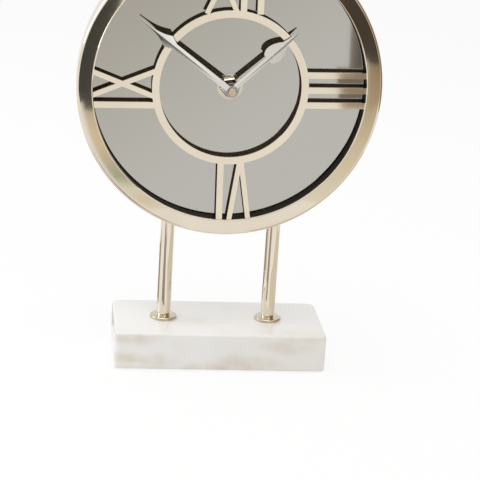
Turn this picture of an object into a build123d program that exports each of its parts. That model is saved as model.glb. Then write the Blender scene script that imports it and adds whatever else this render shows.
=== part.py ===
from build123d import *

import math
import os

# Mirror clock for a mantel or desk, in millimetres.
# X is to the right, Y goes back, Z is up. The dial faces -Y and the base stands on Z = 0.

# Marble base
BASE_WIDTH = 147.0
BASE_DEPTH = 67.0
BASE_HEIGHT = 26.5
BASE_FRONT_CORNER = 2.6
BASE_REAR_CORNER = 6.0
BASE_TOP_ARRIS = 1.8
BASE_BOTTOM_ARRIS = 1.4
BASE_SHIFT = 1.6

# Felt sheet under the base
FELT_THICKNESS = 1.0
FELT_INSET = 4.0
FELT_CORNER = 4.0

# Posts and the flanges at their feet
POST_DIAMETER = 9.7
POST_SPACING = 74.0
POST_NECK_INSET = 0.5
POST_NECK_HEIGHT = 1.8
FLANGE_DIAMETER = 18.8
FLANGE_THICKNESS = 2.0
FLANGE_EDGE_RADIUS = 0.8

# Bolts that hold the posts from below the base
BOLT_DIAMETER = 5.0
BOLT_HEAD_DIAMETER = 8.5
BOLT_HEAD_HEIGHT = 4.0
BOLT_SOCKET_FLATS = 4.0
BOLT_SOCKET_DEPTH = 2.2
BOLT_GRIP_IN_POST = 12.0
WASHER_DIAMETER = 10.6
WASHER_THICKNESS = 1.0
COUNTERBORE_ROOM = 0.7
COUNTERBORE_DEPTH = 9.0

# Studs that hold the case ring on the posts
STUD_DIAMETER = 4.0
STUD_GRIP_IN_POST = 9.0
STUD_GRIP_IN_RING = 5.5
BLIND_HOLE_EXTRA = 1.0

# Case ring
RING_DIAMETER = 207.0
RING_WALL = 7.5
RING_LIP_REACH = 3.5
RING_FRONT = -12.5
RING_DEPTH = 22.0
RING_LIP_WIDTH = 0.9
RING_LIP_RISE = 0.3
RING_FACE_DROP = 0.6
RING_EDGE_RADIUS = 2.0
RING_REAR_CHAMFER = 0.6
RING_WEB = 1.3
DIAL_CLEARANCE = 0.2
OVERALL_HEIGHT = 300.0

# Skeleton numeral plate
PLATE_THICKNESS = 1.2
PLATE_RIM_SETBACK = 1.0
CHAPTER_OUTER_DIAMETER = 106.0
CHAPTER_WIDTH = 4.9
DIAL_TURN = -1.4
STROKE_WIDTH = 4.25
SLANT_WIDTH = 3.4
STROKE_PITCH = 10.4
X_HALF_SPREAD = 7.9
X_TO_I = 14.5
V_HALF_SPREAD = 6.9
V_TO_I = 13.5
V_APEX_HALF_SPREAD = 0.4
THREE_SHIFT = 0.9
SIX_SHIFT = -5.05
NINE_SHIFT = -0.95
TWELVE_X_SHIFT = -7.2
TWELVE_X_HALF_SPREAD = 9.2
TWELVE_I_SHIFT = 6.9
TWELVE_I_PITCH = 11.3

# Dial sandwich behind the numeral plate
SPACER_SETBACK = 0.6
SPACER_THICKNESS = 5.6
MIRROR_THICKNESS = 3.0
BOARD_THICKNESS = 5.0
CENTRE_HOLE_ROOM = 0.5

# Clips that press the backing board forward
CLIP_ANGLES = (45.0, 135.0, 225.0, 315.0)
CLIP_WIDTH = 10.0
CLIP_METAL = 0.8
CLIP_FOOT_LENGTH = 8.0
CLIP_TAB_REACH = 2.6
CLIP_SCREW_DIAMETER = 3.0
CLIP_SCREW_LENGTH = 6.0
CLIP_SCREW_HEAD = 5.0
CLIP_SCREW_HEAD_HEIGHT = 1.6
CROSS_SLOT_WIDTH = 0.8
CROSS_SLOT_LENGTH = 3.0
CROSS_SLOT_DEPTH = 0.8

# Movement case, as wide and as deep as its battery needs
MOVEMENT_WALL = 1.5
MOVEMENT_CORNER = 3.0
PARTITION_THICKNESS = 1.0
BUSH_DIAMETER = 9.0
BUSH_BEYOND_NUT = 0.6
RUBBER_WASHER_DIAMETER = 20.0
RUBBER_WASHER_THICKNESS = 0.8
DIAL_WASHER_DIAMETER = 17.5
DIAL_WASHER_THICKNESS = 0.8
DIAL_NUT_FLATS = 12.0
DIAL_NUT_THICKNESS = 3.5
DIAL_NUT_TURN = 20.0
DIAL_NUT_CHAMFER = 0.5
SNAP_WIDTH = 6.0
SNAP_DEPTH = 0.6

# Battery and its contacts
BATTERY_DIAMETER = 14.2
BATTERY_BODY_LENGTH = 49.2
BATTERY_CAP_DIAMETER = 5.5
BATTERY_CAP_LENGTH = 1.3
BATTERY_FRONT_GAP = 0.3
BATTERY_SIDE_GAP = 0.4
BATTERY_END_ROOM = 1.25
WINDOW_END_ROOM = 0.75
WINDOW_SIDE_ROOM = 0.2
CONTACT_METAL = 0.4
CONTACT_WIDTH = 8.0
CONTACT_HEIGHT = 9.0
CONTACT_TAB = 0.5

# Wheels of the movement
PRESSURE_ANGLE = 20.0
TOOTH_ADDENDUM = 0.85
TOOTH_DEDENDUM = 1.2
TOOTH_BACKLASH = 0.07
WHEEL_THICKNESS = 1.0
MOTION_MODULE = 0.3
TRAIN_MODULE = 0.25
THIRD_MODULE = 0.2
CANNON_TEETH = 12
WORKS_TEETH = 48
WORKS_PINION_TEETH = 15
HOUR_TEETH = 45
KNOB_TEETH = 16
CENTRE_TEETH = 80
PINION_TEETH = 10
THIRD_TEETH = 75
FOURTH_TEETH = 60
FIFTH_TEETH = 50
WORKS_DIRECTION = 180.0
KNOB_DIRECTION = 180.0
THIRD_DIRECTION = 75.0
FOURTH_DIRECTION = 0.0
FIFTH_DIRECTION = 50.0
ROTOR_DIRECTION = 170.0

# Heights of the wheels, as depths behind the inside of the movement's front wall
HOUR_LEVEL = 0.3
WORKS_LEVEL = 2.5
CENTRE_LEVEL = 4.9
THIRD_LEVEL = 7.0
FOURTH_LEVEL = 9.0
LEVEL_GAP = 0.2

# Arbors, tubes and running clearances
ARBOR_DIAMETER = 1.0
ARBOR_SOCKET_DEPTH = 0.9
WORKS_STUD_DIAMETER = 1.6
RUNNING_CLEARANCE = 0.05
TUBE_CLEARANCE = 0.08
MINUTE_ARBOR_DIAMETER = 3.2
MINUTE_REAR_DIAMETER = 2.4
MINUTE_PIVOT_DIAMETER = 1.6
MINUTE_PIVOT_LENGTH = 2.2
MINUTE_THREAD_DIAMETER = 2.4
HOUR_TUBE_DIAMETER = 5.2
REAR_BOSS_DIAMETER = 5.0
SEAT_CLEARANCE = 0.02

# Stepping motor and electronics
ROTOR_DIAMETER = 5.4
ROTOR_HEIGHT = 2.4
ROTOR_AIR_GAP = 0.5
STATOR_THICKNESS = 1.2
STATOR_BAR = 2.2
STATOR_LOBE_DIAMETER = 10.5
STATOR_LEFT = -23.5
STATOR_RIGHT = 13.5
COIL_LEFT = -20.5
COIL_RIGHT = -6.0
COIL_DIAMETER = 7.2
COIL_CHEEK_DIAMETER = 8.0
COIL_GAP = 0.2
COIL_CHEEK = 1.0
BOARD_LEFT_GAP = 0.1
CIRCUIT_LEFT_WIDTH = 19.0
CIRCUIT_HEIGHT = 10.0
CIRCUIT_THICKNESS = 1.0
CIRCUIT_LOW = 6.0
CHIP_SIZE = 4.0
CHIP_HEIGHT = 1.0

# Setting knob
KNOB_DIAMETER = 11.0
KNOB_HEIGHT = 2.6
KNOB_STEM_DIAMETER = 3.0
KNOB_GRIPS = 18
KNOB_GRIP_DIAMETER = 0.9
KNOB_GAP = 0.3

# Hands
HOUR_HAND_GAP = 4.7
HOUR_HAND_ANGLE = 47.2
HOUR_HAND_DROOP = 4.0
HOUR_HAND_HUB = 10.0
HOUR_COLLET_DIAMETER = 7.4
HOUR_COLLET_LENGTH = 2.0
HOUR_BAR_LENGTH = 31.8
HOUR_BAR_WIDTH = 3.7
SPADE_BELLY_LENGTH = 5.6
SPADE_TAPER_LENGTH = 8.2
SPADE_POINT_LENGTH = 5.0
HOUR_NEEDLE_LENGTH = 9.0
SPADE_SHOULDER_HALF = 3.9
SPADE_HALF = 6.0
SPADE_WAIST_HALF = 3.1
SPADE_NECK_HALF = 1.4
MINUTE_HAND_GAP = 3.5
MINUTE_HAND_ANGLE = -54.2
MINUTE_HAND_DROOP = 4.7
MINUTE_HAND_HUB = 7.6
MINUTE_COLLET_GAP = 0.6
MINUTE_BAR_LENGTH = 48.6
MINUTE_BAR_WIDTH = 4.0
LEAF_REAR_LENGTH = 5.6
LEAF_TAPER_LENGTH = 8.6
MINUTE_NEEDLE_LENGTH = 14.8
NEEDLE_BEND = 58.0
NEEDLE_DROOP = 12.0
NEEDLE_DEPTH_ROOM = 4.0
LEAF_HALF = 4.5
LEAF_WAIST_HALF = 1.4
HAND_EDGE = 0.5
HAND_RIDGE = 1.2
HAND_TIP_HALF = 0.3
HAND_NUT_DIAMETER = 5.6
HAND_NUT_HEIGHT = 1.8
HAND_NUT_DOME = 0.5

# Places worked out from the sizes above
BASE_TOP = FELT_THICKNESS + BASE_HEIGHT
FLANGE_TOP = BASE_TOP + FLANGE_THICKNESS
COUNTERBORE_DIAMETER = WASHER_DIAMETER + 2 * COUNTERBORE_ROOM
POST_NECK_DIAMETER = POST_DIAMETER - 2 * POST_NECK_INSET
RING_RADIUS = RING_DIAMETER / 2
RING_BORE = RING_DIAMETER - 2 * RING_WALL
LIP_RADIUS = RING_BORE / 2 - RING_LIP_REACH
PLATE_RIM_BORE = 2 * (LIP_RADIUS + PLATE_RIM_SETBACK)
SPACER_BORE = 2 * (LIP_RADIUS + SPACER_SETBACK)
CHAPTER_INNER_DIAMETER = CHAPTER_OUTER_DIAMETER - 2 * CHAPTER_WIDTH
CLIP_SCREW_RADIUS = (RING_RADIUS + RING_BORE / 2) / 2
CENTRE_HOLE = BUSH_DIAMETER + 2 * CENTRE_HOLE_ROOM
DIAL_HEIGHT = OVERALL_HEIGHT - RING_RADIUS
POST_X = POST_SPACING / 2
POST_PLACES = ((-POST_X, 0), (POST_X, 0))
POST_MEETS_RING = DIAL_HEIGHT - math.sqrt(RING_RADIUS**2 - POST_X**2)
RING_REAR = RING_FRONT + RING_DEPTH
PLATE_FRONT = RING_FRONT + RING_WEB
PLATE_BACK = PLATE_FRONT + PLATE_THICKNESS
DIAL_RADIUS = RING_BORE / 2 - DIAL_CLEARANCE
MIRROR_FRONT = PLATE_BACK + SPACER_THICKNESS
MIRROR_BACK = MIRROR_FRONT + MIRROR_THICKNESS
BOARD_BACK = MIRROR_BACK + BOARD_THICKNESS
BATTERY_LENGTH = BATTERY_BODY_LENGTH + BATTERY_CAP_LENGTH
MOVEMENT_SIZE = BATTERY_LENGTH + 2 * (BATTERY_END_ROOM + MOVEMENT_WALL)
MOVEMENT_DEPTH = MOVEMENT_WALL + BATTERY_FRONT_GAP + BATTERY_DIAMETER
HOUSING_FRONT = BOARD_BACK + RUBBER_WASHER_THICKNESS
HOUSING_REAR = HOUSING_FRONT + MOVEMENT_DEPTH
INSIDE_FRONT = HOUSING_FRONT + MOVEMENT_WALL
INSIDE_REAR = HOUSING_REAR - MOVEMENT_WALL
INSIDE_HALF = MOVEMENT_SIZE / 2 - MOVEMENT_WALL
NUT_FRONT = MIRROR_FRONT - DIAL_WASHER_THICKNESS - DIAL_NUT_THICKNESS
BUSH_FRONT = NUT_FRONT - BUSH_BEYOND_NUT
BATTERY_HEIGHT = -INSIDE_HALF + BATTERY_SIDE_GAP + BATTERY_DIAMETER / 2
PARTITION_BOTTOM = BATTERY_HEIGHT + BATTERY_DIAMETER / 2 + BATTERY_SIDE_GAP
PARTITION_TOP = PARTITION_BOTTOM + PARTITION_THICKNESS
HOUR_HAND_BACK = PLATE_FRONT - HOUR_HAND_GAP
MINUTE_HAND_BACK = HOUR_HAND_BACK - HAND_RIDGE - MINUTE_HAND_GAP
MINUTE_COLLET_BACK = HOUR_HAND_BACK - HAND_RIDGE - MINUTE_COLLET_GAP
SPADE_WIDEST = HOUR_BAR_LENGTH + SPADE_BELLY_LENGTH
SPADE_WAIST = SPADE_WIDEST + SPADE_TAPER_LENGTH
SPADE_NECK = SPADE_WAIST + SPADE_POINT_LENGTH
HOUR_HAND_LENGTH = SPADE_NECK + HOUR_NEEDLE_LENGTH
LEAF_WIDEST = MINUTE_BAR_LENGTH + LEAF_REAR_LENGTH
LEAF_WAIST = LEAF_WIDEST + LEAF_TAPER_LENGTH
MINUTE_HAND_LENGTH = LEAF_WAIST + MINUTE_NEEDLE_LENGTH
ARBOR_FRONT = INSIDE_FRONT - ARBOR_SOCKET_DEPTH
ARBOR_REAR = INSIDE_REAR + ARBOR_SOCKET_DEPTH
HOUR_TUBE_FRONT = HOUR_HAND_BACK - HAND_RIDGE - 0.1
MINUTE_ARBOR_FRONT = MINUTE_HAND_BACK - HAND_RIDGE - HAND_NUT_HEIGHT + HAND_NUT_DOME


def front_plane(y, centre=(0.0, 0.0)):
    """Plane that faces the front at depth y, with its origin at a place on the dial."""
    return Plane(
        origin=(centre[0], y, DIAL_HEIGHT + centre[1]), x_dir=(1, 0, 0), z_dir=(0, -1, 0)
    )


def radial_plane(angle):
    """Plane through the dial's axis: x runs out along the angle, y runs back."""
    turn = math.radians(angle)
    return Plane(
        origin=(0, 0, DIAL_HEIGHT),
        x_dir=(math.cos(turn), 0, math.sin(turn)),
        z_dir=(-math.sin(turn), 0, math.cos(turn)),
    )


def hand_direction(clock_angle, droop):
    """Direction along a hand whose tip leans back towards the dial by an angle."""
    turn = math.radians(clock_angle)
    lean = math.radians(droop)
    return (math.sin(turn) * math.cos(lean), math.sin(lean), math.cos(turn) * math.cos(lean))


def hand_point(start, clock_angle, droop, reach):
    """Point that lies a distance out from another along a hand."""
    return tuple(
        part + reach * step for part, step in zip(start, hand_direction(clock_angle, droop))
    )


def hand_plane(y, clock_angle, droop=0.0):
    """Plane that faces the front at depth y at the hub, with x along a hand."""
    turn = math.radians(clock_angle)
    lean = math.radians(droop)
    return Plane(
        origin=(0, y, DIAL_HEIGHT),
        x_dir=hand_direction(clock_angle, droop),
        z_dir=(math.sin(turn) * math.sin(lean), -math.cos(lean), math.cos(turn) * math.sin(lean)),
    )


def disc(diameter, y_front, y_back, centre=(0.0, 0.0), mode=Mode.ADD):
    """Round slice of the current part between two depths."""
    with BuildSketch(front_plane(y_back, centre)) as face:
        Circle(diameter / 2)
    extrude(face.sketch, amount=y_back - y_front, mode=mode)


def block(x_low, x_high, z_low, z_high, y_front, y_back, mode=Mode.ADD):
    """Rectangular slice of the current part, its X and Z measured from the dial's centre."""
    middle = ((x_low + x_high) / 2, (z_low + z_high) / 2)
    with BuildSketch(front_plane(y_back, middle)) as face:
        Rectangle(x_high - x_low, z_high - z_low)
    extrude(face.sketch, amount=y_back - y_front, mode=mode)


def step_from(start, distance, direction):
    """Point at a distance and direction from another, on the dial's plane."""
    turn = math.radians(direction)
    return (start[0] + distance * math.cos(turn), start[1] + distance * math.sin(turn))


def centre_distance(module, teeth_a, teeth_b):
    """Distance between the arbors of two meshed gears."""
    return module * (teeth_a + teeth_b) / 2


def meshed_phase(phase, teeth, direction, next_teeth):
    """Angle of a tooth of the next gear, whose gaps take the teeth of the first."""
    share = (direction - phase) * teeth / 360
    return direction + 180 - (0.5 - share) * 360 / next_teeth


def gear_points(teeth, module, phase):
    """Corners of a spur gear with involute flanks, one tooth centred on the phase angle."""
    pitch_radius = module * teeth / 2
    base_radius = pitch_radius * math.cos(math.radians(PRESSURE_ANGLE))
    root_radius = pitch_radius - TOOTH_DEDENDUM * module
    tip_radius = pitch_radius + TOOTH_ADDENDUM * module
    pitch_half = math.pi / (2 * teeth) - TOOTH_BACKLASH / (2 * pitch_radius)

    def involute(radius):
        slope = math.acos(min(1.0, base_radius / radius))
        return math.tan(slope) - slope

    def half_angle(radius):
        return pitch_half + involute(pitch_radius) - involute(max(radius, base_radius))

    radii = [root_radius, pitch_radius, tip_radius]
    if base_radius > root_radius:
        radii.insert(1, base_radius)
    flank = [(radius, half_angle(radius)) for radius in radii]
    points = []
    for tooth in range(teeth):
        middle = math.radians(phase) + 2 * math.pi * tooth / teeth
        side = [(radius, middle - half) for radius, half in flank]
        side += [(radius, middle + half) for radius, half in reversed(flank)]
        points += [(radius * math.cos(turn), radius * math.sin(turn)) for radius, turn in side]
    return points


def gear(teeth, module, phase, centre, y_front, thickness=WHEEL_THICKNESS):
    """Spur gear added to the current part."""
    with BuildSketch(front_plane(y_front + thickness, centre)) as face:
        with BuildLine():
            Polyline(*gear_points(teeth, module, phase), close=True)
        make_face()
    extrude(face.sketch, amount=thickness)


# Marble base with the bolts' holes from below

with BuildPart() as marble_base:
    with BuildSketch(Plane.XY.offset(FELT_THICKNESS)):
        with Locations((BASE_SHIFT, 0)):
            Rectangle(BASE_WIDTH, BASE_DEPTH)
    extrude(amount=BASE_HEIGHT)
    uprights = marble_base.edges().filter_by(Axis.Z)
    fillet(uprights.sort_by(Axis.Y)[:2], BASE_FRONT_CORNER)
    uprights = marble_base.edges().filter_by(Axis.Z).filter_by_position(Axis.Y, 0, BASE_DEPTH)
    fillet(uprights.group_by(SortBy.LENGTH)[-1].sort_by(Axis.Y)[-2:], BASE_REAR_CORNER)
    fillet(marble_base.faces().sort_by(Axis.Z)[-1].edges(), BASE_TOP_ARRIS)
    fillet(marble_base.faces().sort_by(Axis.Z)[0].edges(), BASE_BOTTOM_ARRIS)
    with Locations(Plane.XY.offset(FELT_THICKNESS)):
        with Locations(*POST_PLACES):
            Hole(BOLT_DIAMETER / 2 + DIAL_CLEARANCE, depth=BASE_HEIGHT * 2)
            Cylinder(
                COUNTERBORE_DIAMETER / 2,
                COUNTERBORE_DEPTH,
                align=(Align.CENTER, Align.CENTER, Align.MIN),
                mode=Mode.SUBTRACT,
            )
marble_base.part.label = "marble_base"

with BuildPart() as base_felt:
    with BuildSketch(Plane.XY):
        with Locations((BASE_SHIFT, 0)):
            RectangleRounded(BASE_WIDTH - 2 * FELT_INSET, BASE_DEPTH - 2 * FELT_INSET, FELT_CORNER)
    extrude(amount=FELT_THICKNESS)
base_felt.part.label = "base_felt"

# Posts, the same on both sides, cut at the top to sit on the ring


def build_post(place, label):
    """Turned post with a neck at its foot and a tapped hole in each end."""
    with BuildPart() as post:
        with BuildSketch(Plane.XY.offset(FLANGE_TOP)) as neck:
            with Locations(place):
                Circle(POST_NECK_DIAMETER / 2)
        extrude(neck.sketch, amount=POST_NECK_HEIGHT)
        with BuildSketch(Plane.XY.offset(FLANGE_TOP + POST_NECK_HEIGHT)) as shaft:
            with Locations(place):
                Circle(POST_DIAMETER / 2)
        extrude(shaft.sketch, amount=POST_MEETS_RING + POST_DIAMETER - FLANGE_TOP - POST_NECK_HEIGHT)
        disc(RING_DIAMETER, RING_FRONT, RING_REAR, mode=Mode.SUBTRACT)
        with BuildSketch(Plane.XY.offset(FLANGE_TOP)) as bolt_hole:
            with Locations(place):
                Circle(BOLT_DIAMETER / 2 + RUNNING_CLEARANCE)
        extrude(bolt_hole.sketch, amount=BOLT_GRIP_IN_POST + BLIND_HOLE_EXTRA, mode=Mode.SUBTRACT)
        with BuildSketch(Plane.XY.offset(POST_MEETS_RING - STUD_GRIP_IN_POST)) as stud_hole:
            with Locations(place):
                Circle(STUD_DIAMETER / 2 + RUNNING_CLEARANCE)
        extrude(stud_hole.sketch, amount=STUD_GRIP_IN_POST + POST_DIAMETER, mode=Mode.SUBTRACT)
    post.part.label = label
    return post


def build_flange(place, label):
    """Thin disc between a post's foot and the marble."""
    with BuildPart() as flange:
        with BuildSketch(Plane.XY.offset(BASE_TOP)) as face:
            with Locations(place):
                Circle(FLANGE_DIAMETER / 2)
        extrude(face.sketch, amount=FLANGE_THICKNESS)
        fillet(flange.faces().sort_by(Axis.Z)[-1].edges(), FLANGE_EDGE_RADIUS)
        with BuildSketch(Plane.XY.offset(BASE_TOP)) as hole:
            with Locations(place):
                Circle(BOLT_DIAMETER / 2 + DIAL_CLEARANCE)
        extrude(hole.sketch, amount=FLANGE_THICKNESS, mode=Mode.SUBTRACT)
    flange.part.label = label
    return flange


post_left = build_post(POST_PLACES[0], "post_left")
post_right = build_post(POST_PLACES[1], "post_right")
flange_left = build_flange(POST_PLACES[0], "flange_left")
flange_right = build_flange(POST_PLACES[1], "flange_right")

# Bolts and washers in the base's counterbores

BOLT_SEAT = FELT_THICKNESS + COUNTERBORE_DEPTH - WASHER_THICKNESS

with BuildPart() as base_bolts:
    with BuildSketch(Plane.XY.offset(BOLT_SEAT - BOLT_HEAD_HEIGHT)):
        with Locations(*POST_PLACES):
            Circle(BOLT_HEAD_DIAMETER / 2)
    extrude(amount=BOLT_HEAD_HEIGHT)
    with BuildSketch(Plane.XY.offset(BOLT_SEAT)):
        with Locations(*POST_PLACES):
            Circle(BOLT_DIAMETER / 2)
    extrude(amount=FLANGE_TOP + BOLT_GRIP_IN_POST - BOLT_SEAT)
    with BuildSketch(Plane.XY.offset(BOLT_SEAT - BOLT_HEAD_HEIGHT)):
        with Locations(*POST_PLACES):
            RegularPolygon(BOLT_SOCKET_FLATS / 2, 6, major_radius=False)
    extrude(amount=BOLT_SOCKET_DEPTH, mode=Mode.SUBTRACT)
base_bolts.part.label = "base_bolts"

with BuildPart() as base_washers:
    with BuildSketch(Plane.XY.offset(BOLT_SEAT)):
        with Locations(*POST_PLACES):
            Circle(WASHER_DIAMETER / 2)
            Circle(BOLT_DIAMETER / 2 + DIAL_CLEARANCE, mode=Mode.SUBTRACT)
    extrude(amount=WASHER_THICKNESS)
base_washers.part.label = "base_washers"

with BuildPart() as ring_studs:
    with BuildSketch(Plane.XY.offset(POST_MEETS_RING - STUD_GRIP_IN_POST)):
        with Locations(*POST_PLACES):
            Circle(STUD_DIAMETER / 2)
    extrude(amount=STUD_GRIP_IN_POST + STUD_GRIP_IN_RING)
ring_studs.part.label = "ring_studs"

# Case ring, turned from one profile of radius and depth

FACE_START = LIP_RADIUS + RING_LIP_WIDTH
FACE_END = RING_RADIUS - RING_EDGE_RADIUS
FACE_END_Y = RING_FRONT + RING_LIP_RISE + RING_FACE_DROP

with BuildPart() as case_ring:
    with BuildSketch(radial_plane(0)):
        with BuildLine():
            Polyline(
                (FACE_END, FACE_END_Y),
                (FACE_START, RING_FRONT + RING_LIP_RISE),
                (FACE_START - RING_LIP_WIDTH / 3, RING_FRONT),
                (LIP_RADIUS, RING_FRONT + RING_LIP_RISE),
                (LIP_RADIUS, PLATE_FRONT),
                (RING_BORE / 2, PLATE_FRONT),
                (RING_BORE / 2, RING_REAR),
                (RING_RADIUS - RING_REAR_CHAMFER, RING_REAR),
                (RING_RADIUS, RING_REAR - RING_REAR_CHAMFER),
                (RING_RADIUS, FACE_END_Y + RING_EDGE_RADIUS),
            )
            RadiusArc(
                (RING_RADIUS, FACE_END_Y + RING_EDGE_RADIUS), (FACE_END, FACE_END_Y), RING_EDGE_RADIUS
            )
        make_face()
    revolve(axis=Axis((0, 0, DIAL_HEIGHT), (0, 1, 0)))
    with BuildSketch(Plane.XY.offset(POST_MEETS_RING - POST_DIAMETER)):
        with Locations(*POST_PLACES):
            Circle(STUD_DIAMETER / 2 + RUNNING_CLEARANCE)
    extrude(amount=POST_DIAMETER + STUD_GRIP_IN_RING + BLIND_HOLE_EXTRA / 2, mode=Mode.SUBTRACT)
    for clip_angle in CLIP_ANGLES:
        disc(
            CLIP_SCREW_DIAMETER + 2 * RUNNING_CLEARANCE,
            RING_REAR - CLIP_SCREW_LENGTH - BLIND_HOLE_EXTRA,
            RING_REAR,
            step_from((0, 0), CLIP_SCREW_RADIUS, clip_angle),
            Mode.SUBTRACT,
        )
case_ring.part.label = "case_ring"

# Skeleton plate: chapter ring, hidden rim, and four numerals read from outside the dial

STROKE_INNER = (CHAPTER_OUTER_DIAMETER + CHAPTER_INNER_DIAMETER) / 4
STROKE_OUTER = (PLATE_RIM_BORE / 2 + DIAL_RADIUS) / 2
STROKE_MIDDLE = (CHAPTER_OUTER_DIAMETER / 2 + LIP_RADIUS) / 2
STROKE_REACH = LIP_RADIUS - STROKE_MIDDLE


def upright(shift):
    """Centre line of an I, as distances out from the dial's centre and across, and its width."""
    return [((STROKE_INNER, shift), (STROKE_OUTER, shift), STROKE_WIDTH)]


def crossed(shift, half_spread):
    """Centre lines of an X whose spread is measured at the chapter ring and the lip."""
    inner = half_spread * (STROKE_MIDDLE - STROKE_INNER) / STROKE_REACH
    outer = half_spread * (STROKE_OUTER - STROKE_MIDDLE) / STROKE_REACH
    return [
        ((STROKE_INNER, shift - inner), (STROKE_OUTER, shift + outer), SLANT_WIDTH),
        ((STROKE_INNER, shift + inner), (STROKE_OUTER, shift - outer), SLANT_WIDTH),
    ]


def pointed(shift):
    """Centre lines of a V whose point is at the chapter ring."""
    return [
        ((STROKE_INNER, shift - V_APEX_HALF_SPREAD), (STROKE_OUTER, shift - V_HALF_SPREAD), SLANT_WIDTH),
        ((STROKE_INNER, shift + V_APEX_HALF_SPREAD), (STROKE_OUTER, shift + V_HALF_SPREAD), SLANT_WIDTH),
    ]


# Shifts across the dial run clockwise. An X with its I spans from the X's far side to the I.
X_AND_I = X_TO_I + X_HALF_SPREAD
V_AND_I = V_TO_I + V_HALF_SPREAD
NUMERALS = {
    0.0: crossed(TWELVE_X_SHIFT, TWELVE_X_HALF_SPREAD)
    + upright(TWELVE_I_SHIFT)
    + upright(TWELVE_I_SHIFT + TWELVE_I_PITCH),
    90.0: upright(THREE_SHIFT - STROKE_PITCH) + upright(THREE_SHIFT) + upright(THREE_SHIFT + STROKE_PITCH),
    180.0: pointed(SIX_SHIFT + V_HALF_SPREAD - V_AND_I / 2) + upright(SIX_SHIFT + V_AND_I / 2),
    270.0: upright(NINE_SHIFT - X_AND_I / 2)
    + crossed(NINE_SHIFT - X_HALF_SPREAD + X_AND_I / 2, X_HALF_SPREAD),
}

with BuildPart() as numeral_plate:
    with BuildSketch(front_plane(PLATE_BACK)):
        Circle(DIAL_RADIUS)
        Circle(PLATE_RIM_BORE / 2, mode=Mode.SUBTRACT)
        Circle(CHAPTER_OUTER_DIAMETER / 2)
        Circle(CHAPTER_INNER_DIAMETER / 2, mode=Mode.SUBTRACT)
    extrude(amount=PLATE_THICKNESS)
    for clock_angle, strokes in NUMERALS.items():
        with BuildSketch(hand_plane(PLATE_BACK, clock_angle + DIAL_TURN)) as numeral:
            for start, end, width in strokes:
                length = math.dist(start, end)
                lean = math.degrees(math.atan2(start[1] - end[1], end[0] - start[0]))
                middle = ((start[0] + end[0]) / 2, -(start[1] + end[1]) / 2)
                with Locations(Location((middle[0], middle[1], 0), (0, 0, lean))):
                    Rectangle(length, width)
            Circle(DIAL_RADIUS, mode=Mode.INTERSECT)
        extrude(numeral.sketch, amount=PLATE_THICKNESS)
    disc(CHAPTER_INNER_DIAMETER, PLATE_FRONT, PLATE_BACK, mode=Mode.SUBTRACT)
numeral_plate.part.label = "numeral_plate"

# Black spacer ring, mirror and backing board

with BuildPart() as dial_spacer:
    disc(2 * DIAL_RADIUS, PLATE_BACK, MIRROR_FRONT)
    disc(SPACER_BORE, PLATE_BACK, MIRROR_FRONT, mode=Mode.SUBTRACT)
dial_spacer.part.label = "dial_spacer"

with BuildPart() as mirror_disc:
    disc(2 * DIAL_RADIUS, MIRROR_FRONT, MIRROR_BACK)
    disc(CENTRE_HOLE, MIRROR_FRONT, MIRROR_BACK, mode=Mode.SUBTRACT)
mirror_disc.part.label = "mirror_disc"

with BuildPart() as backing_board:
    disc(2 * DIAL_RADIUS, MIRROR_BACK, BOARD_BACK)
    disc(CENTRE_HOLE, MIRROR_BACK, BOARD_BACK, mode=Mode.SUBTRACT)
backing_board.part.label = "backing_board"

# Bent clips between the ring's rear face and the board, with their screws

CLIP_INNER = DIAL_RADIUS - CLIP_FOOT_LENGTH
CLIP_STEP = DIAL_RADIUS - DIAL_CLEARANCE
CLIP_OUTER = CLIP_SCREW_RADIUS + CLIP_TAB_REACH

with BuildPart() as board_clips:
    for clip_angle in CLIP_ANGLES:
        with BuildSketch(radial_plane(clip_angle)) as strip:
            with BuildLine():
                Polyline(
                    (CLIP_INNER, BOARD_BACK),
                    (CLIP_STEP, BOARD_BACK),
                    (CLIP_STEP, RING_REAR),
                    (CLIP_OUTER, RING_REAR),
                    (CLIP_OUTER, RING_REAR + CLIP_METAL),
                    (CLIP_STEP - CLIP_METAL, RING_REAR + CLIP_METAL),
                    (CLIP_STEP - CLIP_METAL, BOARD_BACK + CLIP_METAL),
                    (CLIP_INNER, BOARD_BACK + CLIP_METAL),
                    close=True,
                )
            make_face()
        extrude(strip.sketch, amount=CLIP_WIDTH / 2, both=True)
        disc(
            CLIP_SCREW_DIAMETER + 2 * DIAL_CLEARANCE,
            RING_REAR,
            RING_REAR + CLIP_METAL,
            step_from((0, 0), CLIP_SCREW_RADIUS, clip_angle),
            Mode.SUBTRACT,
        )
board_clips.part.label = "board_clips"

with BuildPart() as clip_screws:
    for clip_angle in CLIP_ANGLES:
        screw_place = step_from((0, 0), CLIP_SCREW_RADIUS, clip_angle)
        head_seat = RING_REAR + CLIP_METAL
        head_top = head_seat + CLIP_SCREW_HEAD_HEIGHT
        disc(CLIP_SCREW_HEAD, head_seat, head_top, screw_place)
        disc(CLIP_SCREW_DIAMETER, RING_REAR - CLIP_SCREW_LENGTH, head_seat, screw_place)
        with BuildSketch(front_plane(head_top, screw_place)) as cross:
            Rectangle(CROSS_SLOT_LENGTH, CROSS_SLOT_WIDTH, rotation=clip_angle)
            Rectangle(CROSS_SLOT_WIDTH, CROSS_SLOT_LENGTH, rotation=clip_angle)
        extrude(cross.sketch, amount=CROSS_SLOT_DEPTH, mode=Mode.SUBTRACT)
clip_screws.part.label = "clip_screws"

# Places of the movement's arbors, from the teeth that mesh

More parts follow.
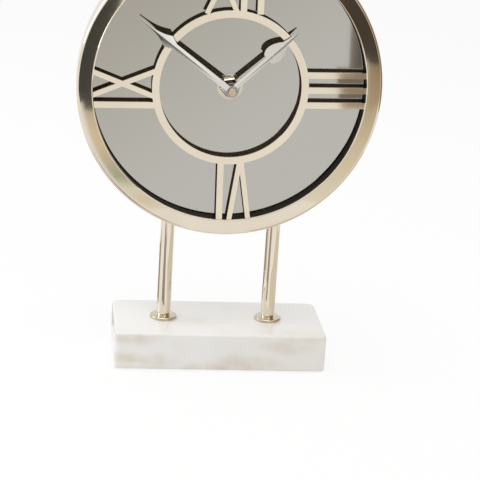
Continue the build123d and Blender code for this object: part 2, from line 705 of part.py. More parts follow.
CENTRE_PLACE = (0.0, 0.0)
WORKS_PLACE = step_from(
    CENTRE_PLACE, centre_distance(MOTION_MODULE, CANNON_TEETH, WORKS_TEETH), WORKS_DIRECTION
)
KNOB_PLACE = step_from(
    WORKS_PLACE, centre_distance(MOTION_MODULE, WORKS_TEETH, KNOB_TEETH), KNOB_DIRECTION
)
THIRD_PLACE = step_from(
    CENTRE_PLACE, centre_distance(TRAIN_MODULE, CENTRE_TEETH, PINION_TEETH), THIRD_DIRECTION
)
FOURTH_PLACE = step_from(
    THIRD_PLACE, centre_distance(THIRD_MODULE, THIRD_TEETH, PINION_TEETH), FOURTH_DIRECTION
)
FIFTH_PLACE = step_from(
    FOURTH_PLACE, centre_distance(TRAIN_MODULE, FOURTH_TEETH, PINION_TEETH), FIFTH_DIRECTION
)
ROTOR_PLACE = step_from(
    FIFTH_PLACE, centre_distance(TRAIN_MODULE, FIFTH_TEETH, PINION_TEETH), ROTOR_DIRECTION
)
SOCKET_PLACES = (THIRD_PLACE, FOURTH_PLACE, FIFTH_PLACE, ROTOR_PLACE)
SOCKET_DIAMETER = ARBOR_DIAMETER + 2 * RUNNING_CLEARANCE
HOUR_Y = INSIDE_FRONT + HOUR_LEVEL
WORKS_Y = INSIDE_FRONT + WORKS_LEVEL
CENTRE_Y = INSIDE_FRONT + CENTRE_LEVEL
THIRD_Y = INSIDE_FRONT + THIRD_LEVEL
FOURTH_Y = INSIDE_FRONT + FOURTH_LEVEL
MINUTE_REAR = CENTRE_Y + WHEEL_THICKNESS + LEVEL_GAP
REAR_BOSS_FRONT = MINUTE_REAR + LEVEL_GAP

# Movement case: front shell with the threaded bush, and the rear cover

with BuildPart() as movement_housing:
    with BuildSketch(front_plane(INSIDE_REAR)):
        RectangleRounded(MOVEMENT_SIZE, MOVEMENT_SIZE, MOVEMENT_CORNER)
    extrude(amount=INSIDE_REAR - HOUSING_FRONT)
    block(-INSIDE_HALF, INSIDE_HALF, PARTITION_TOP, INSIDE_HALF, INSIDE_FRONT, INSIDE_REAR, Mode.SUBTRACT)
    block(
        -INSIDE_HALF,
        INSIDE_HALF,
        -INSIDE_HALF,
        PARTITION_BOTTOM,
        INSIDE_FRONT,
        INSIDE_REAR,
        Mode.SUBTRACT,
    )
    disc(BUSH_DIAMETER, BUSH_FRONT, HOUSING_FRONT)
    disc(HOUR_TUBE_DIAMETER + 2 * TUBE_CLEARANCE, BUSH_FRONT, INSIDE_FRONT, mode=Mode.SUBTRACT)
    for socket in SOCKET_PLACES + (KNOB_PLACE,):
        disc(SOCKET_DIAMETER, ARBOR_FRONT, INSIDE_FRONT, socket, Mode.SUBTRACT)
    disc(WORKS_STUD_DIAMETER, INSIDE_FRONT, WORKS_Y + WHEEL_THICKNESS + LEVEL_GAP, WORKS_PLACE)
movement_housing.part.label = "movement_housing"

with BuildPart() as movement_cover:
    with BuildSketch(front_plane(HOUSING_REAR)):
        RectangleRounded(MOVEMENT_SIZE, MOVEMENT_SIZE, MOVEMENT_CORNER)
        with Locations((0, BATTERY_HEIGHT)):
            Rectangle(
                BATTERY_LENGTH + 2 * WINDOW_END_ROOM,
                BATTERY_DIAMETER + 2 * WINDOW_SIDE_ROOM,
                mode=Mode.SUBTRACT,
            )
    extrude(amount=MOVEMENT_WALL)
    for side in (-1, 1):
        snap = side * (INSIDE_HALF - SNAP_DEPTH / 2 - RUNNING_CLEARANCE)
        block(
            snap - SNAP_DEPTH / 2,
            snap + SNAP_DEPTH / 2,
            -SNAP_WIDTH / 2,
            SNAP_WIDTH / 2,
            INSIDE_REAR - 2 * MOVEMENT_WALL,
            INSIDE_REAR,
        )
    disc(REAR_BOSS_DIAMETER, REAR_BOSS_FRONT, INSIDE_REAR)
    disc(
        MINUTE_PIVOT_DIAMETER + 2 * RUNNING_CLEARANCE,
        REAR_BOSS_FRONT,
        MINUTE_REAR + MINUTE_PIVOT_LENGTH + LEVEL_GAP,
        mode=Mode.SUBTRACT,
    )
    for socket in SOCKET_PLACES:
        disc(SOCKET_DIAMETER, INSIDE_REAR, ARBOR_REAR, socket, Mode.SUBTRACT)
    disc(
        KNOB_STEM_DIAMETER + 2 * TUBE_CLEARANCE, INSIDE_REAR, HOUSING_REAR, KNOB_PLACE, Mode.SUBTRACT
    )
movement_cover.part.label = "movement_cover"

# Washers and the nut on the bush

with BuildPart() as rubber_washer:
    disc(RUBBER_WASHER_DIAMETER, BOARD_BACK, HOUSING_FRONT)
    disc(BUSH_DIAMETER + 2 * DIAL_CLEARANCE, BOARD_BACK, HOUSING_FRONT, mode=Mode.SUBTRACT)
rubber_washer.part.label = "rubber_washer"

with BuildPart() as dial_washer:
    disc(DIAL_WASHER_DIAMETER, MIRROR_FRONT - DIAL_WASHER_THICKNESS, MIRROR_FRONT)
    disc(
        BUSH_DIAMETER + 2 * DIAL_CLEARANCE,
        MIRROR_FRONT - DIAL_WASHER_THICKNESS,
        MIRROR_FRONT,
        mode=Mode.SUBTRACT,
    )
dial_washer.part.label = "dial_washer"

with BuildPart() as dial_nut:
    with BuildSketch(front_plane(NUT_FRONT + DIAL_NUT_THICKNESS)):
        RegularPolygon(DIAL_NUT_FLATS / 2, 6, major_radius=False, rotation=90 - DIAL_NUT_TURN)
    extrude(amount=DIAL_NUT_THICKNESS)
    chamfer(dial_nut.faces().sort_by(Axis.Y)[0].edges(), DIAL_NUT_CHAMFER)
    disc(
        BUSH_DIAMETER + 2 * RUNNING_CLEARANCE, NUT_FRONT, NUT_FRONT + DIAL_NUT_THICKNESS, mode=Mode.SUBTRACT
    )
dial_nut.part.label = "dial_nut"

# Hour wheel with its tube, minute arbor with its pinion, and the wheel between them

WORKS_PHASE = meshed_phase(0.0, CANNON_TEETH, WORKS_DIRECTION, WORKS_TEETH)
HOUR_PHASE = meshed_phase(0.0, WORKS_PINION_TEETH, WORKS_DIRECTION + 180, HOUR_TEETH)
KNOB_PHASE = meshed_phase(WORKS_PHASE, WORKS_TEETH, KNOB_DIRECTION, KNOB_TEETH)

with BuildPart() as hour_wheel:
    gear(HOUR_TEETH, MOTION_MODULE, HOUR_PHASE, CENTRE_PLACE, HOUR_Y)
    disc(HOUR_TUBE_DIAMETER, HOUR_TUBE_FRONT, HOUR_Y + WHEEL_THICKNESS)
    disc(
        MINUTE_ARBOR_DIAMETER + 2 * TUBE_CLEARANCE,
        HOUR_TUBE_FRONT,
        HOUR_Y + WHEEL_THICKNESS,
        mode=Mode.SUBTRACT,
    )
hour_wheel.part.label = "hour_wheel"

CANNON_FRONT = WORKS_Y - LEVEL_GAP
CANNON_THICKNESS = WHEEL_THICKNESS + 2 * LEVEL_GAP

with BuildPart() as minute_arbor:
    disc(MINUTE_THREAD_DIAMETER, MINUTE_ARBOR_FRONT, MINUTE_HAND_BACK)
    disc(MINUTE_ARBOR_DIAMETER, MINUTE_HAND_BACK - HAND_EDGE, CANNON_FRONT - LEVEL_GAP)
    disc(MINUTE_REAR_DIAMETER, CANNON_FRONT - LEVEL_GAP, MINUTE_REAR)
    gear(CANNON_TEETH, MOTION_MODULE, 0.0, CENTRE_PLACE, CANNON_FRONT, CANNON_THICKNESS)
    disc(MINUTE_PIVOT_DIAMETER, MINUTE_REAR, MINUTE_REAR + MINUTE_PIVOT_LENGTH)
minute_arbor.part.label = "minute_arbor"

with BuildPart() as works_wheel:
    gear(WORKS_PINION_TEETH, MOTION_MODULE, 0.0, WORKS_PLACE, HOUR_Y, WORKS_Y - HOUR_Y)
    gear(WORKS_TEETH, MOTION_MODULE, WORKS_PHASE, WORKS_PLACE, WORKS_Y)
    disc(
        WORKS_STUD_DIAMETER + 2 * RUNNING_CLEARANCE,
        HOUR_Y,
        WORKS_Y + WHEEL_THICKNESS,
        WORKS_PLACE,
        Mode.SUBTRACT,
    )
works_wheel.part.label = "works_wheel"

with BuildPart() as setting_knob:
    gear(KNOB_TEETH, MOTION_MODULE, KNOB_PHASE, KNOB_PLACE, WORKS_Y)
    disc(ARBOR_DIAMETER, ARBOR_FRONT, WORKS_Y, KNOB_PLACE)
    disc(KNOB_STEM_DIAMETER, WORKS_Y, HOUSING_REAR + KNOB_GAP, KNOB_PLACE)
    disc(KNOB_DIAMETER, HOUSING_REAR + KNOB_GAP, HOUSING_REAR + KNOB_GAP + KNOB_HEIGHT, KNOB_PLACE)
    with BuildSketch(front_plane(HOUSING_REAR + KNOB_GAP + KNOB_HEIGHT, KNOB_PLACE)):
        with PolarLocations(KNOB_DIAMETER / 2, KNOB_GRIPS):
            Circle(KNOB_GRIP_DIAMETER / 2)
    extrude(amount=KNOB_HEIGHT, mode=Mode.SUBTRACT)
setting_knob.part.label = "setting_knob"

# Going train, from the centre wheel back to the rotor

CENTRE_PHASE = meshed_phase(0.0, PINION_TEETH, THIRD_DIRECTION + 180, CENTRE_TEETH)
THIRD_PHASE = meshed_phase(0.0, PINION_TEETH, FOURTH_DIRECTION + 180, THIRD_TEETH)
FIFTH_PINION_PHASE = meshed_phase(0.0, FOURTH_TEETH, FIFTH_DIRECTION, PINION_TEETH)
ROTOR_PHASE = meshed_phase(0.0, FIFTH_TEETH, ROTOR_DIRECTION, PINION_TEETH)

with BuildPart() as centre_wheel:
    gear(CENTRE_TEETH, TRAIN_MODULE, CENTRE_PHASE, CENTRE_PLACE, CENTRE_Y)
    disc(
        MINUTE_REAR_DIAMETER + 2 * RUNNING_CLEARANCE,
        CENTRE_Y,
        CENTRE_Y + WHEEL_THICKNESS,
        mode=Mode.SUBTRACT,
    )
centre_wheel.part.label = "centre_wheel"

with BuildPart() as third_wheel:
    gear(PINION_TEETH, TRAIN_MODULE, 0.0, THIRD_PLACE, CENTRE_Y - LEVEL_GAP, THIRD_Y - CENTRE_Y + LEVEL_GAP)
    gear(THIRD_TEETH, THIRD_MODULE, THIRD_PHASE, THIRD_PLACE, THIRD_Y)
    disc(ARBOR_DIAMETER, ARBOR_FRONT, ARBOR_REAR, THIRD_PLACE)
third_wheel.part.label = "third_wheel"

with BuildPart() as fourth_wheel:
    gear(PINION_TEETH, THIRD_MODULE, 0.0, FOURTH_PLACE, THIRD_Y - LEVEL_GAP, FOURTH_Y - THIRD_Y + LEVEL_GAP)
    gear(FOURTH_TEETH, TRAIN_MODULE, 0.0, FOURTH_PLACE, FOURTH_Y)
    disc(ARBOR_DIAMETER, ARBOR_FRONT, ARBOR_REAR, FOURTH_PLACE)
fourth_wheel.part.label = "fourth_wheel"

with BuildPart() as fifth_wheel:
    gear(FIFTH_TEETH, TRAIN_MODULE, 0.0, FIFTH_PLACE, THIRD_Y)
    gear(
        PINION_TEETH,
        TRAIN_MODULE,
        FIFTH_PINION_PHASE,
        FIFTH_PLACE,
        THIRD_Y + WHEEL_THICKNESS,
        FOURTH_Y - THIRD_Y + LEVEL_GAP,
    )
    disc(ARBOR_DIAMETER, ARBOR_FRONT, ARBOR_REAR, FIFTH_PLACE)
fifth_wheel.part.label = "fifth_wheel"

STATOR_Y = CENTRE_Y - LEVEL_GAP
ROTOR_MIDDLE = STATOR_Y + STATOR_THICKNESS / 2

with BuildPart() as rotor:
    disc(ROTOR_DIAMETER, ROTOR_MIDDLE - ROTOR_HEIGHT / 2, ROTOR_MIDDLE + ROTOR_HEIGHT / 2, ROTOR_PLACE)
    gear(
        PINION_TEETH,
        TRAIN_MODULE,
        ROTOR_PHASE,
        ROTOR_PLACE,
        ROTOR_MIDDLE + ROTOR_HEIGHT / 2,
        THIRD_Y + WHEEL_THICKNESS + LEVEL_GAP - ROTOR_MIDDLE - ROTOR_HEIGHT / 2,
    )
    disc(ARBOR_DIAMETER, ARBOR_FRONT, ARBOR_REAR, ROTOR_PLACE)
rotor.part.label = "rotor"

# Stepping motor's fixed parts and the circuit board

STATOR_HEIGHT = ROTOR_PLACE[1]
STATOR_RETURN_HEIGHT = STATOR_HEIGHT - COIL_CHEEK_DIAMETER / 2 - COIL_GAP - STATOR_BAR / 2
STATOR_BACK = STATOR_Y + STATOR_THICKNESS

with BuildPart() as stator:
    block(
        STATOR_LEFT,
        STATOR_RIGHT,
        STATOR_HEIGHT - STATOR_BAR / 2,
        STATOR_HEIGHT + STATOR_BAR / 2,
        STATOR_Y,
        STATOR_BACK,
    )
    block(
        STATOR_LEFT,
        STATOR_RIGHT,
        STATOR_RETURN_HEIGHT - STATOR_BAR / 2,
        STATOR_RETURN_HEIGHT + STATOR_BAR / 2,
        STATOR_Y,
        STATOR_BACK,
    )
    for bar_left in (STATOR_LEFT, STATOR_RIGHT - STATOR_BAR):
        block(
            bar_left,
            bar_left + STATOR_BAR,
            STATOR_RETURN_HEIGHT,
            STATOR_HEIGHT,
            STATOR_Y,
            STATOR_BACK,
        )
    disc(STATOR_LOBE_DIAMETER, STATOR_Y, STATOR_BACK, ROTOR_PLACE)
    disc(ROTOR_DIAMETER + 2 * ROTOR_AIR_GAP, STATOR_Y, STATOR_BACK, ROTOR_PLACE, Mode.SUBTRACT)
    for foot_x in (STATOR_LEFT + STATOR_BAR / 2, STATOR_RIGHT - STATOR_BAR / 2):
        disc(STATOR_BAR, INSIDE_FRONT, STATOR_BACK, (foot_x, STATOR_RETURN_HEIGHT))
stator.part.label = "stator"

COIL_PLANE = Plane(
    origin=(COIL_LEFT, ROTOR_MIDDLE, DIAL_HEIGHT + STATOR_HEIGHT), x_dir=(0, 1, 0), z_dir=(1, 0, 0)
)

with BuildPart() as coil:
    with BuildSketch(COIL_PLANE):
        Circle(COIL_DIAMETER / 2)
    extrude(amount=COIL_RIGHT - COIL_LEFT)
    with BuildSketch(COIL_PLANE, COIL_PLANE.offset(COIL_RIGHT - COIL_LEFT - COIL_CHEEK)):
        Circle(COIL_CHEEK_DIAMETER / 2)
    extrude(amount=COIL_CHEEK)
    with BuildSketch(COIL_PLANE):
        Rectangle(STATOR_THICKNESS + 2 * RUNNING_CLEARANCE, STATOR_BAR + 2 * RUNNING_CLEARANCE)
    extrude(amount=COIL_RIGHT - COIL_LEFT, mode=Mode.SUBTRACT)
coil.part.label = "coil"

CIRCUIT_LEFT = -INSIDE_HALF + BOARD_LEFT_GAP
CIRCUIT_Y = INSIDE_REAR - 2 * MOVEMENT_WALL

with BuildPart() as circuit_board:
    block(
        CIRCUIT_LEFT,
        CIRCUIT_LEFT + CIRCUIT_LEFT_WIDTH,
        CIRCUIT_LOW,
        CIRCUIT_LOW + CIRCUIT_HEIGHT,
        CIRCUIT_Y,
        CIRCUIT_Y + CIRCUIT_THICKNESS,
    )
    chip_x = CIRCUIT_LEFT + CIRCUIT_LEFT_WIDTH / 2
    chip_z = CIRCUIT_LOW + CIRCUIT_HEIGHT / 2
    block(
        chip_x - CHIP_SIZE / 2,
        chip_x + CHIP_SIZE / 2,
        chip_z - CHIP_SIZE / 2,
        chip_z + CHIP_SIZE / 2,
        CIRCUIT_Y + CIRCUIT_THICKNESS,
        CIRCUIT_Y + CIRCUIT_THICKNESS + CHIP_HEIGHT,
    )
circuit_board.part.label = "circuit_board"

# Battery lying across the movement, with a spring contact at each end

BATTERY_Y = HOUSING_REAR - BATTERY_DIAMETER / 2
BATTERY_Z = DIAL_HEIGHT + BATTERY_HEIGHT
BATTERY_LEFT = -BATTERY_LENGTH / 2
BATTERY_PLANE = Plane(origin=(BATTERY_LEFT, BATTERY_Y, BATTERY_Z), x_dir=(0, 1, 0), z_dir=(1, 0, 0))

with BuildPart() as battery:
    with BuildSketch(BATTERY_PLANE):
        Circle(BATTERY_DIAMETER / 2)
    extrude(amount=BATTERY_BODY_LENGTH)
    fillet(battery.edges().filter_by(GeomType.CIRCLE), CONTACT_TAB)
    with BuildSketch(BATTERY_PLANE.offset(BATTERY_BODY_LENGTH)):
        Circle(BATTERY_CAP_DIAMETER / 2)
    extrude(amount=BATTERY_CAP_LENGTH)
battery.part.label = "battery"


def build_contact(side, label):
    """Bent strip between the case's end wall and the battery's end."""
    wall = side * (INSIDE_HALF - RUNNING_CLEARANCE)
    face = wall - side * CONTACT_METAL
    battery_end = side * (-BATTERY_LEFT + RUNNING_CLEARANCE)
    with BuildPart() as contact:
        block(
            min(wall, face),
            max(wall, face),
            BATTERY_HEIGHT - CONTACT_HEIGHT / 2,
            BATTERY_HEIGHT + CONTACT_HEIGHT / 2,
            BATTERY_Y - CONTACT_WIDTH / 2,
            BATTERY_Y + CONTACT_WIDTH / 2,
        )
        block(
            min(face, battery_end),
            max(face, battery_end),
            BATTERY_HEIGHT - CONTACT_TAB,
            BATTERY_HEIGHT + CONTACT_TAB,
            BATTERY_Y - CONTACT_WIDTH / 4,
            BATTERY_Y + CONTACT_WIDTH / 4,
        )
    contact.part.label = label
    return contact


contact_negative = build_contact(-1, "contact_negative")
contact_positive = build_contact(1, "contact_positive")

# Hands: an outline cut from a ridged bar, with a round hub


def ridge_section(half_width):
    """Corners of a hand's cross-section: flat back, upright edges and a central ridge."""
    return [
        (-half_width, 0),
        (half_width, 0),
        (half_width, HAND_EDGE),
        (0, HAND_RIDGE),
        (-half_width, HAND_EDGE),
    ]


def section_plane(y, clock_angle, droop):
    """Plane across a hand at its hub: x runs sideways and y runs to the front."""
    turn = math.radians(clock_angle)
    return Plane(
        origin=(0, y, DIAL_HEIGHT),
        x_dir=(-math.cos(turn), 0, math.sin(turn)),
        z_dir=hand_direction(clock_angle, droop),
    )


with BuildPart() as hour_hand:
    with BuildSketch(hand_plane(HOUR_HAND_BACK, HOUR_HAND_ANGLE, HOUR_HAND_DROOP)):
        with BuildLine():
            Polyline(
                (0, 0),
                (0, HOUR_BAR_WIDTH / 2),
                (HOUR_BAR_LENGTH, HOUR_BAR_WIDTH / 2),
                (HOUR_BAR_LENGTH, SPADE_SHOULDER_HALF),
            )
            Spline(
                (HOUR_BAR_LENGTH, SPADE_SHOULDER_HALF),
                (SPADE_WIDEST, SPADE_HALF),
                (SPADE_WAIST, SPADE_WAIST_HALF),
                (SPADE_NECK, SPADE_NECK_HALF),
                tangents=((1, 1), (HOUR_HAND_LENGTH - SPADE_NECK, -SPADE_NECK_HALF)),
            )
            Polyline(
                (SPADE_NECK, SPADE_NECK_HALF), (HOUR_HAND_LENGTH, HAND_TIP_HALF), (HOUR_HAND_LENGTH, 0)
            )
            mirror(about=Plane.XZ)
        make_face()
    extrude(amount=HAND_RIDGE)
    with BuildSketch(section_plane(HOUR_HAND_BACK, HOUR_HAND_ANGLE, HOUR_HAND_DROOP)):
        with BuildLine():
            Polyline(*ridge_section(SPADE_HALF + 1), close=True)
        make_face()
    extrude(amount=HOUR_HAND_LENGTH + 1, mode=Mode.INTERSECT)
    disc(HOUR_HAND_HUB, HOUR_HAND_BACK - HAND_EDGE, HOUR_HAND_BACK)
    disc(HOUR_COLLET_DIAMETER, HOUR_HAND_BACK, HOUR_HAND_BACK + HOUR_COLLET_LENGTH)
    disc(
        HOUR_TUBE_DIAMETER + 2 * SEAT_CLEARANCE,
        HOUR_HAND_BACK - 2 * HAND_RIDGE,
        HOUR_HAND_BACK + HOUR_COLLET_LENGTH,
        mode=Mode.SUBTRACT,
    )
hour_hand.part.label = "hour_hand"

MINUTE_HUB_POINT = (0, MINUTE_HAND_BACK, DIAL_HEIGHT)
MINUTE_BEND_POINT = hand_point(MINUTE_HUB_POINT, MINUTE_HAND_ANGLE, MINUTE_HAND_DROOP, NEEDLE_BEND)
MINUTE_END_POINT = hand_point(
    MINUTE_BEND_POINT, MINUTE_HAND_ANGLE, NEEDLE_DROOP, MINUTE_HAND_LENGTH + 1 - NEEDLE_BEND
)

with BuildPart() as minute_hand:
    with BuildSketch(
        hand_plane(MINUTE_HAND_BACK, MINUTE_HAND_ANGLE, MINUTE_HAND_DROOP)
    ) as minute_outline:
        with BuildLine():
            Polyline(
                (0, 0),
                (0, MINUTE_BAR_WIDTH / 2),
                (MINUTE_BAR_LENGTH, MINUTE_BAR_WIDTH / 2),
                (LEAF_WIDEST, LEAF_HALF),
            )
            Spline(
                (LEAF_WIDEST, LEAF_HALF),
                (LEAF_WAIST, LEAF_WAIST_HALF),
                (MINUTE_HAND_LENGTH, HAND_TIP_HALF),
                tangents=(
                    (LEAF_TAPER_LENGTH, -LEAF_HALF),
                    (MINUTE_HAND_LENGTH - LEAF_WAIST, -HAND_TIP_HALF),
                ),
            )
            Line((MINUTE_HAND_LENGTH, HAND_TIP_HALF), (MINUTE_HAND_LENGTH, 0))
            mirror(about=Plane.XZ)
        make_face()
    extrude(minute_outline.sketch, amount=HAND_RIDGE)
    extrude(minute_outline.sketch, amount=-NEEDLE_DEPTH_ROOM)
    with BuildSketch(section_plane(MINUTE_HAND_BACK, MINUTE_HAND_ANGLE, MINUTE_HAND_DROOP)) as section:
        with BuildLine():
            Polyline(*ridge_section(LEAF_HALF + 1), close=True)
        make_face()
    with BuildLine() as spine:
        Polyline(MINUTE_HUB_POINT, MINUTE_BEND_POINT, MINUTE_END_POINT)
    sweep(section.sketch, path=spine.wires()[0], transition=Transition.RIGHT, mode=Mode.INTERSECT)
    disc(MINUTE_HAND_HUB, MINUTE_HAND_BACK - HAND_RIDGE, MINUTE_COLLET_BACK)
    disc(
        MINUTE_ARBOR_DIAMETER + 2 * SEAT_CLEARANCE,
        MINUTE_HAND_BACK - HAND_EDGE,
        MINUTE_COLLET_BACK,
        mode=Mode.SUBTRACT,
    )
    disc(
        MINUTE_THREAD_DIAMETER + 2 * SEAT_CLEARANCE,
        MINUTE_HAND_BACK - 2 * HAND_RIDGE,
        MINUTE_HAND_BACK - HAND_EDGE,
        mode=Mode.SUBTRACT,
    )
minute_hand.part.label = "minute_hand"

NUT_BACK = MINUTE_HAND_BACK - HAND_RIDGE

with BuildPart() as hand_nut:
    disc(HAND_NUT_DIAMETER, NUT_BACK - HAND_NUT_HEIGHT, NUT_BACK)
    fillet(hand_nut.faces().sort_by(Axis.Y)[0].edges(), HAND_NUT_DOME)
    disc(
        MINUTE_THREAD_DIAMETER + 2 * RUNNING_CLEARANCE,
        MINUTE_ARBOR_FRONT - RUNNING_CLEARANCE,
        NUT_BACK,
        mode=Mode.SUBTRACT,
    )
hand_nut.part.label = "hand_nut"

# Write each piece under its own name

os.makedirs("parts", exist_ok=True)

for piece in (
    marble_base,
    base_felt,
    post_left,
    post_right,
    flange_left,
    flange_right,
    base_bolts,
    base_washers,
    ring_studs,
    case_ring,
    numeral_plate,
    dial_spacer,
    mirror_disc,
    backing_board,
    board_clips,
    clip_screws,
    movement_housing,
    movement_cover,
    rubber_washer,
    dial_washer,
    dial_nut,
    hour_wheel,
    minute_arbor,
    works_wheel,
    setting_knob,
    centre_wheel,
    third_wheel,
    fourth_wheel,
    fifth_wheel,
    rotor,
    stator,
    coil,
    circuit_board,
    battery,
    contact_negative,
    contact_positive,
    hour_hand,
    minute_hand,
    hand_nut,
):
    export_step(piece.part, f"parts/{piece.part.label}.step")
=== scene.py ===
"""Looks of a mirror clock: nickel ring and posts, skeleton numerals, grey mirror, marble base."""

import logging
import math
from collections.abc import Iterable, Sequence
from dataclasses import dataclass, field
from enum import Enum
from typing import Protocol

import bmesh
import bpy
from mathutils import Matrix, Vector


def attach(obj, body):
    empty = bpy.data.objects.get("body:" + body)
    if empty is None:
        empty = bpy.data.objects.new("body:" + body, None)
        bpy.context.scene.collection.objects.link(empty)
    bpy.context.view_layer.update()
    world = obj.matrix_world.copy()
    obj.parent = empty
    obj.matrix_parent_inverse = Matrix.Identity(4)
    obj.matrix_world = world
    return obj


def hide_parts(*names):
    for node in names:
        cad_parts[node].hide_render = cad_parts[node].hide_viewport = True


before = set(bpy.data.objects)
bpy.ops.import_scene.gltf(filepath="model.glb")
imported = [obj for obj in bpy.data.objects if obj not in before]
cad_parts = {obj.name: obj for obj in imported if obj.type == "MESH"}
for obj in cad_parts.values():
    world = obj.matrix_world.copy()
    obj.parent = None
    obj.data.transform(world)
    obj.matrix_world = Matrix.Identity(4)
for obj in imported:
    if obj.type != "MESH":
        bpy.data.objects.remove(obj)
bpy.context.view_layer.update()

Colour = tuple[float, float, float]
Place = tuple[float, float, float]
Point = tuple[float, float]
Range = tuple[float, float]

LOG = logging.getLogger("mirror_clock")
MM = 0.001
FULL_TURN = 2 * math.pi

# Height of the dial's centre, in millimetres
DIAL_HEIGHT = 196.5

# Depth of the upright cards and height of the ones on the floor, in metres
CARD_FRONT = -0.68
CARD_LIFT = 0.0004

# Parts of a noise field's values that a finish spreads over its own range
MIDDLE: Range = (0.3, 0.7)
CLOUDS: Range = (0.35, 0.65)
FLECKS: Range = (0.4, 0.7)
FIBRES: Range = (0.35, 0.7)


class Body(Enum):
    """Rigid groups of the clock, as the record names them."""

    CLOCK = "clock"
    MINUTE = "minute"
    HOUR = "hour"
    CELL = "cell"


class Slot(Enum):
    """Material slots of the record, one kept with each new piece."""

    NICKEL = "nickel"
    RING = "nickel_ring"
    PLATE = "champagne_plate"
    HAND = "silver_hand"
    NUT = "brass_nut"
    WRAP = "battery_wrap"


class Axis(Enum):
    """Direction that a turned piece is spun about."""

    ALONG = Vector((1, 0, 0))
    BACKWARD = Vector((0, 1, 0))
    UP = Vector((0, 0, 1))


# Materials


class NodeSheet:
    """Node tree of one material, with short ways to add and join its nodes."""

    def __init__(self, name: str) -> None:
        """Starts an empty material with a surface shader.

        Args:
            name: Name of the finish.
        """
        self.material = bpy.data.materials.new(name)
        self.material.use_nodes = True
        self.tree = self.material.node_tree
        self.tree.nodes.clear()
        self.output = self.tree.nodes.new("ShaderNodeOutputMaterial")
        self.surface = self.tree.nodes.new("ShaderNodeBsdfPrincipled")
        self.join(self.surface.outputs["BSDF"], self.output.inputs["Surface"])

    def join(self, source: bpy.types.NodeSocket, target: bpy.types.NodeSocket) -> None:
        """Links two sockets."""
        self.tree.links.new(source, target)

    def put(self, kind: str, **inputs: object) -> bpy.types.Node:
        """Adds a node and fills its inputs with values or links.

        Args:
            kind: Blender's name of the node type, without its prefix.
            inputs: Values or source sockets, by input name with _ for a space.

        Returns:
            The new node.
        """
        node = self.tree.nodes.new(f"ShaderNode{kind}")
        for name, value in inputs.items():
            self.feed(node.inputs[name.replace("_", " ")], value)
        return node

    def feed(self, socket: bpy.types.NodeSocket, value: object) -> None:
        """Sets a socket to a value, or links it where the value is another socket."""
        if isinstance(value, bpy.types.NodeSocket):
            self.join(value, socket)
        elif isinstance(value, tuple) and len(value) == 3 and socket.type == "RGBA":
            socket.default_value = (*value, 1.0)
        else:
            socket.default_value = value

    def shade(self, **inputs: object) -> None:
        """Fills inputs of the surface shader."""
        for name, value in inputs.items():
            self.feed(self.surface.inputs[name.replace("_", " ")], value)

    def place(
        self, stretch: Sequence[float] = (1, 1, 1), centre: Sequence[float] = (0, 0, 0)
    ) -> bpy.types.NodeSocket:
        """Object coordinates, moved to a centre and stretched.

        Args:
            stretch: Scale along X, Y and Z.
            centre: Place in metres that becomes the origin.

        Returns:
            The vector socket.
        """
        where = self.put("TexCoord").outputs["Object"]
        moved = self.put("VectorMath", Vector=where)
        moved.operation = "SUBTRACT"
        moved.inputs[1].default_value = tuple(centre)
        scaled = self.put("Mapping", Vector=moved.outputs["Vector"], Scale=tuple(stretch))
        return scaled.outputs["Vector"]

    def noise(
        self, where: bpy.types.NodeSocket, scale: float, detail: float = 3.0, rough: float = 0.5
    ) -> bpy.types.NodeSocket:
        """Value of a noise field.

        Args:
            where: Coordinates.
            scale: Cells in a metre.
            detail: Number of finer layers.
            rough: Strength of the finer layers.

        Returns:
            The value socket.
        """
        node = self.put("TexNoise", Vector=where, Scale=scale, Detail=detail, Roughness=rough)
        return node.outputs["Fac"]

    def span(
        self,
        value: bpy.types.NodeSocket,
        low: float,
        high: float,
        start: float = 0.0,
        end: float = 1.0,
        smooth: bool = False,
    ) -> bpy.types.NodeSocket:
        """Carries a value from one range to another.

        Args:
            value: Source value.
            low: Source value at the start.
            high: Source value at the end.
            start: Result at low.
            end: Result at high.
            smooth: Whether the change is eased.

        Returns:
            The value socket.
        """
        node = self.put(
            "MapRange", Value=value, From_Min=low, From_Max=high, To_Min=start, To_Max=end
        )
        node.interpolation_type = "SMOOTHSTEP" if smooth else "LINEAR"
        return node.outputs["Result"]

    def reckon(self, operation: str, first: object, second: object = 0.0) -> bpy.types.NodeSocket:
        """Result of one sum on two values.

        Args:
            operation: Blender's name of the sum.
            first: Value or socket.
            second: Value or socket.

        Returns:
            The value socket.
        """
        node = self.put("Math")
        node.operation = operation
        self.feed(node.inputs[0], first)
        self.feed(node.inputs[1], second)
        return node.outputs["Value"]

    def blend(self, share: object, first: object, second: object) -> bpy.types.NodeSocket:
        """Mix of two colours.

        Args:
            share: Share of the second colour.
            first: Colour or socket.
            second: Colour or socket.

        Returns:
            The colour socket.
        """
        node = self.put("Mix")
        node.data_type = "RGBA"
        self.feed(node.inputs["Factor"], share)
        self.feed(node.inputs[6], first)
        self.feed(node.inputs[7], second)
        return node.outputs[2]

    def dent(self, height: bpy.types.NodeSocket, depth: float) -> None:
        """Gives the surface a relief.

        Args:
            height: Relief from 0 to 1.
            depth: Depth of the relief, in metres.
        """
        bump = self.put("Bump", Height=height, Distance=depth, Strength=1.0)
        self.shade(Normal=bump.outputs["Normal"])


class Finish(Protocol):
    """Recipe of one material."""

    def build(self) -> bpy.types.Material:
        """Returns the finished material."""


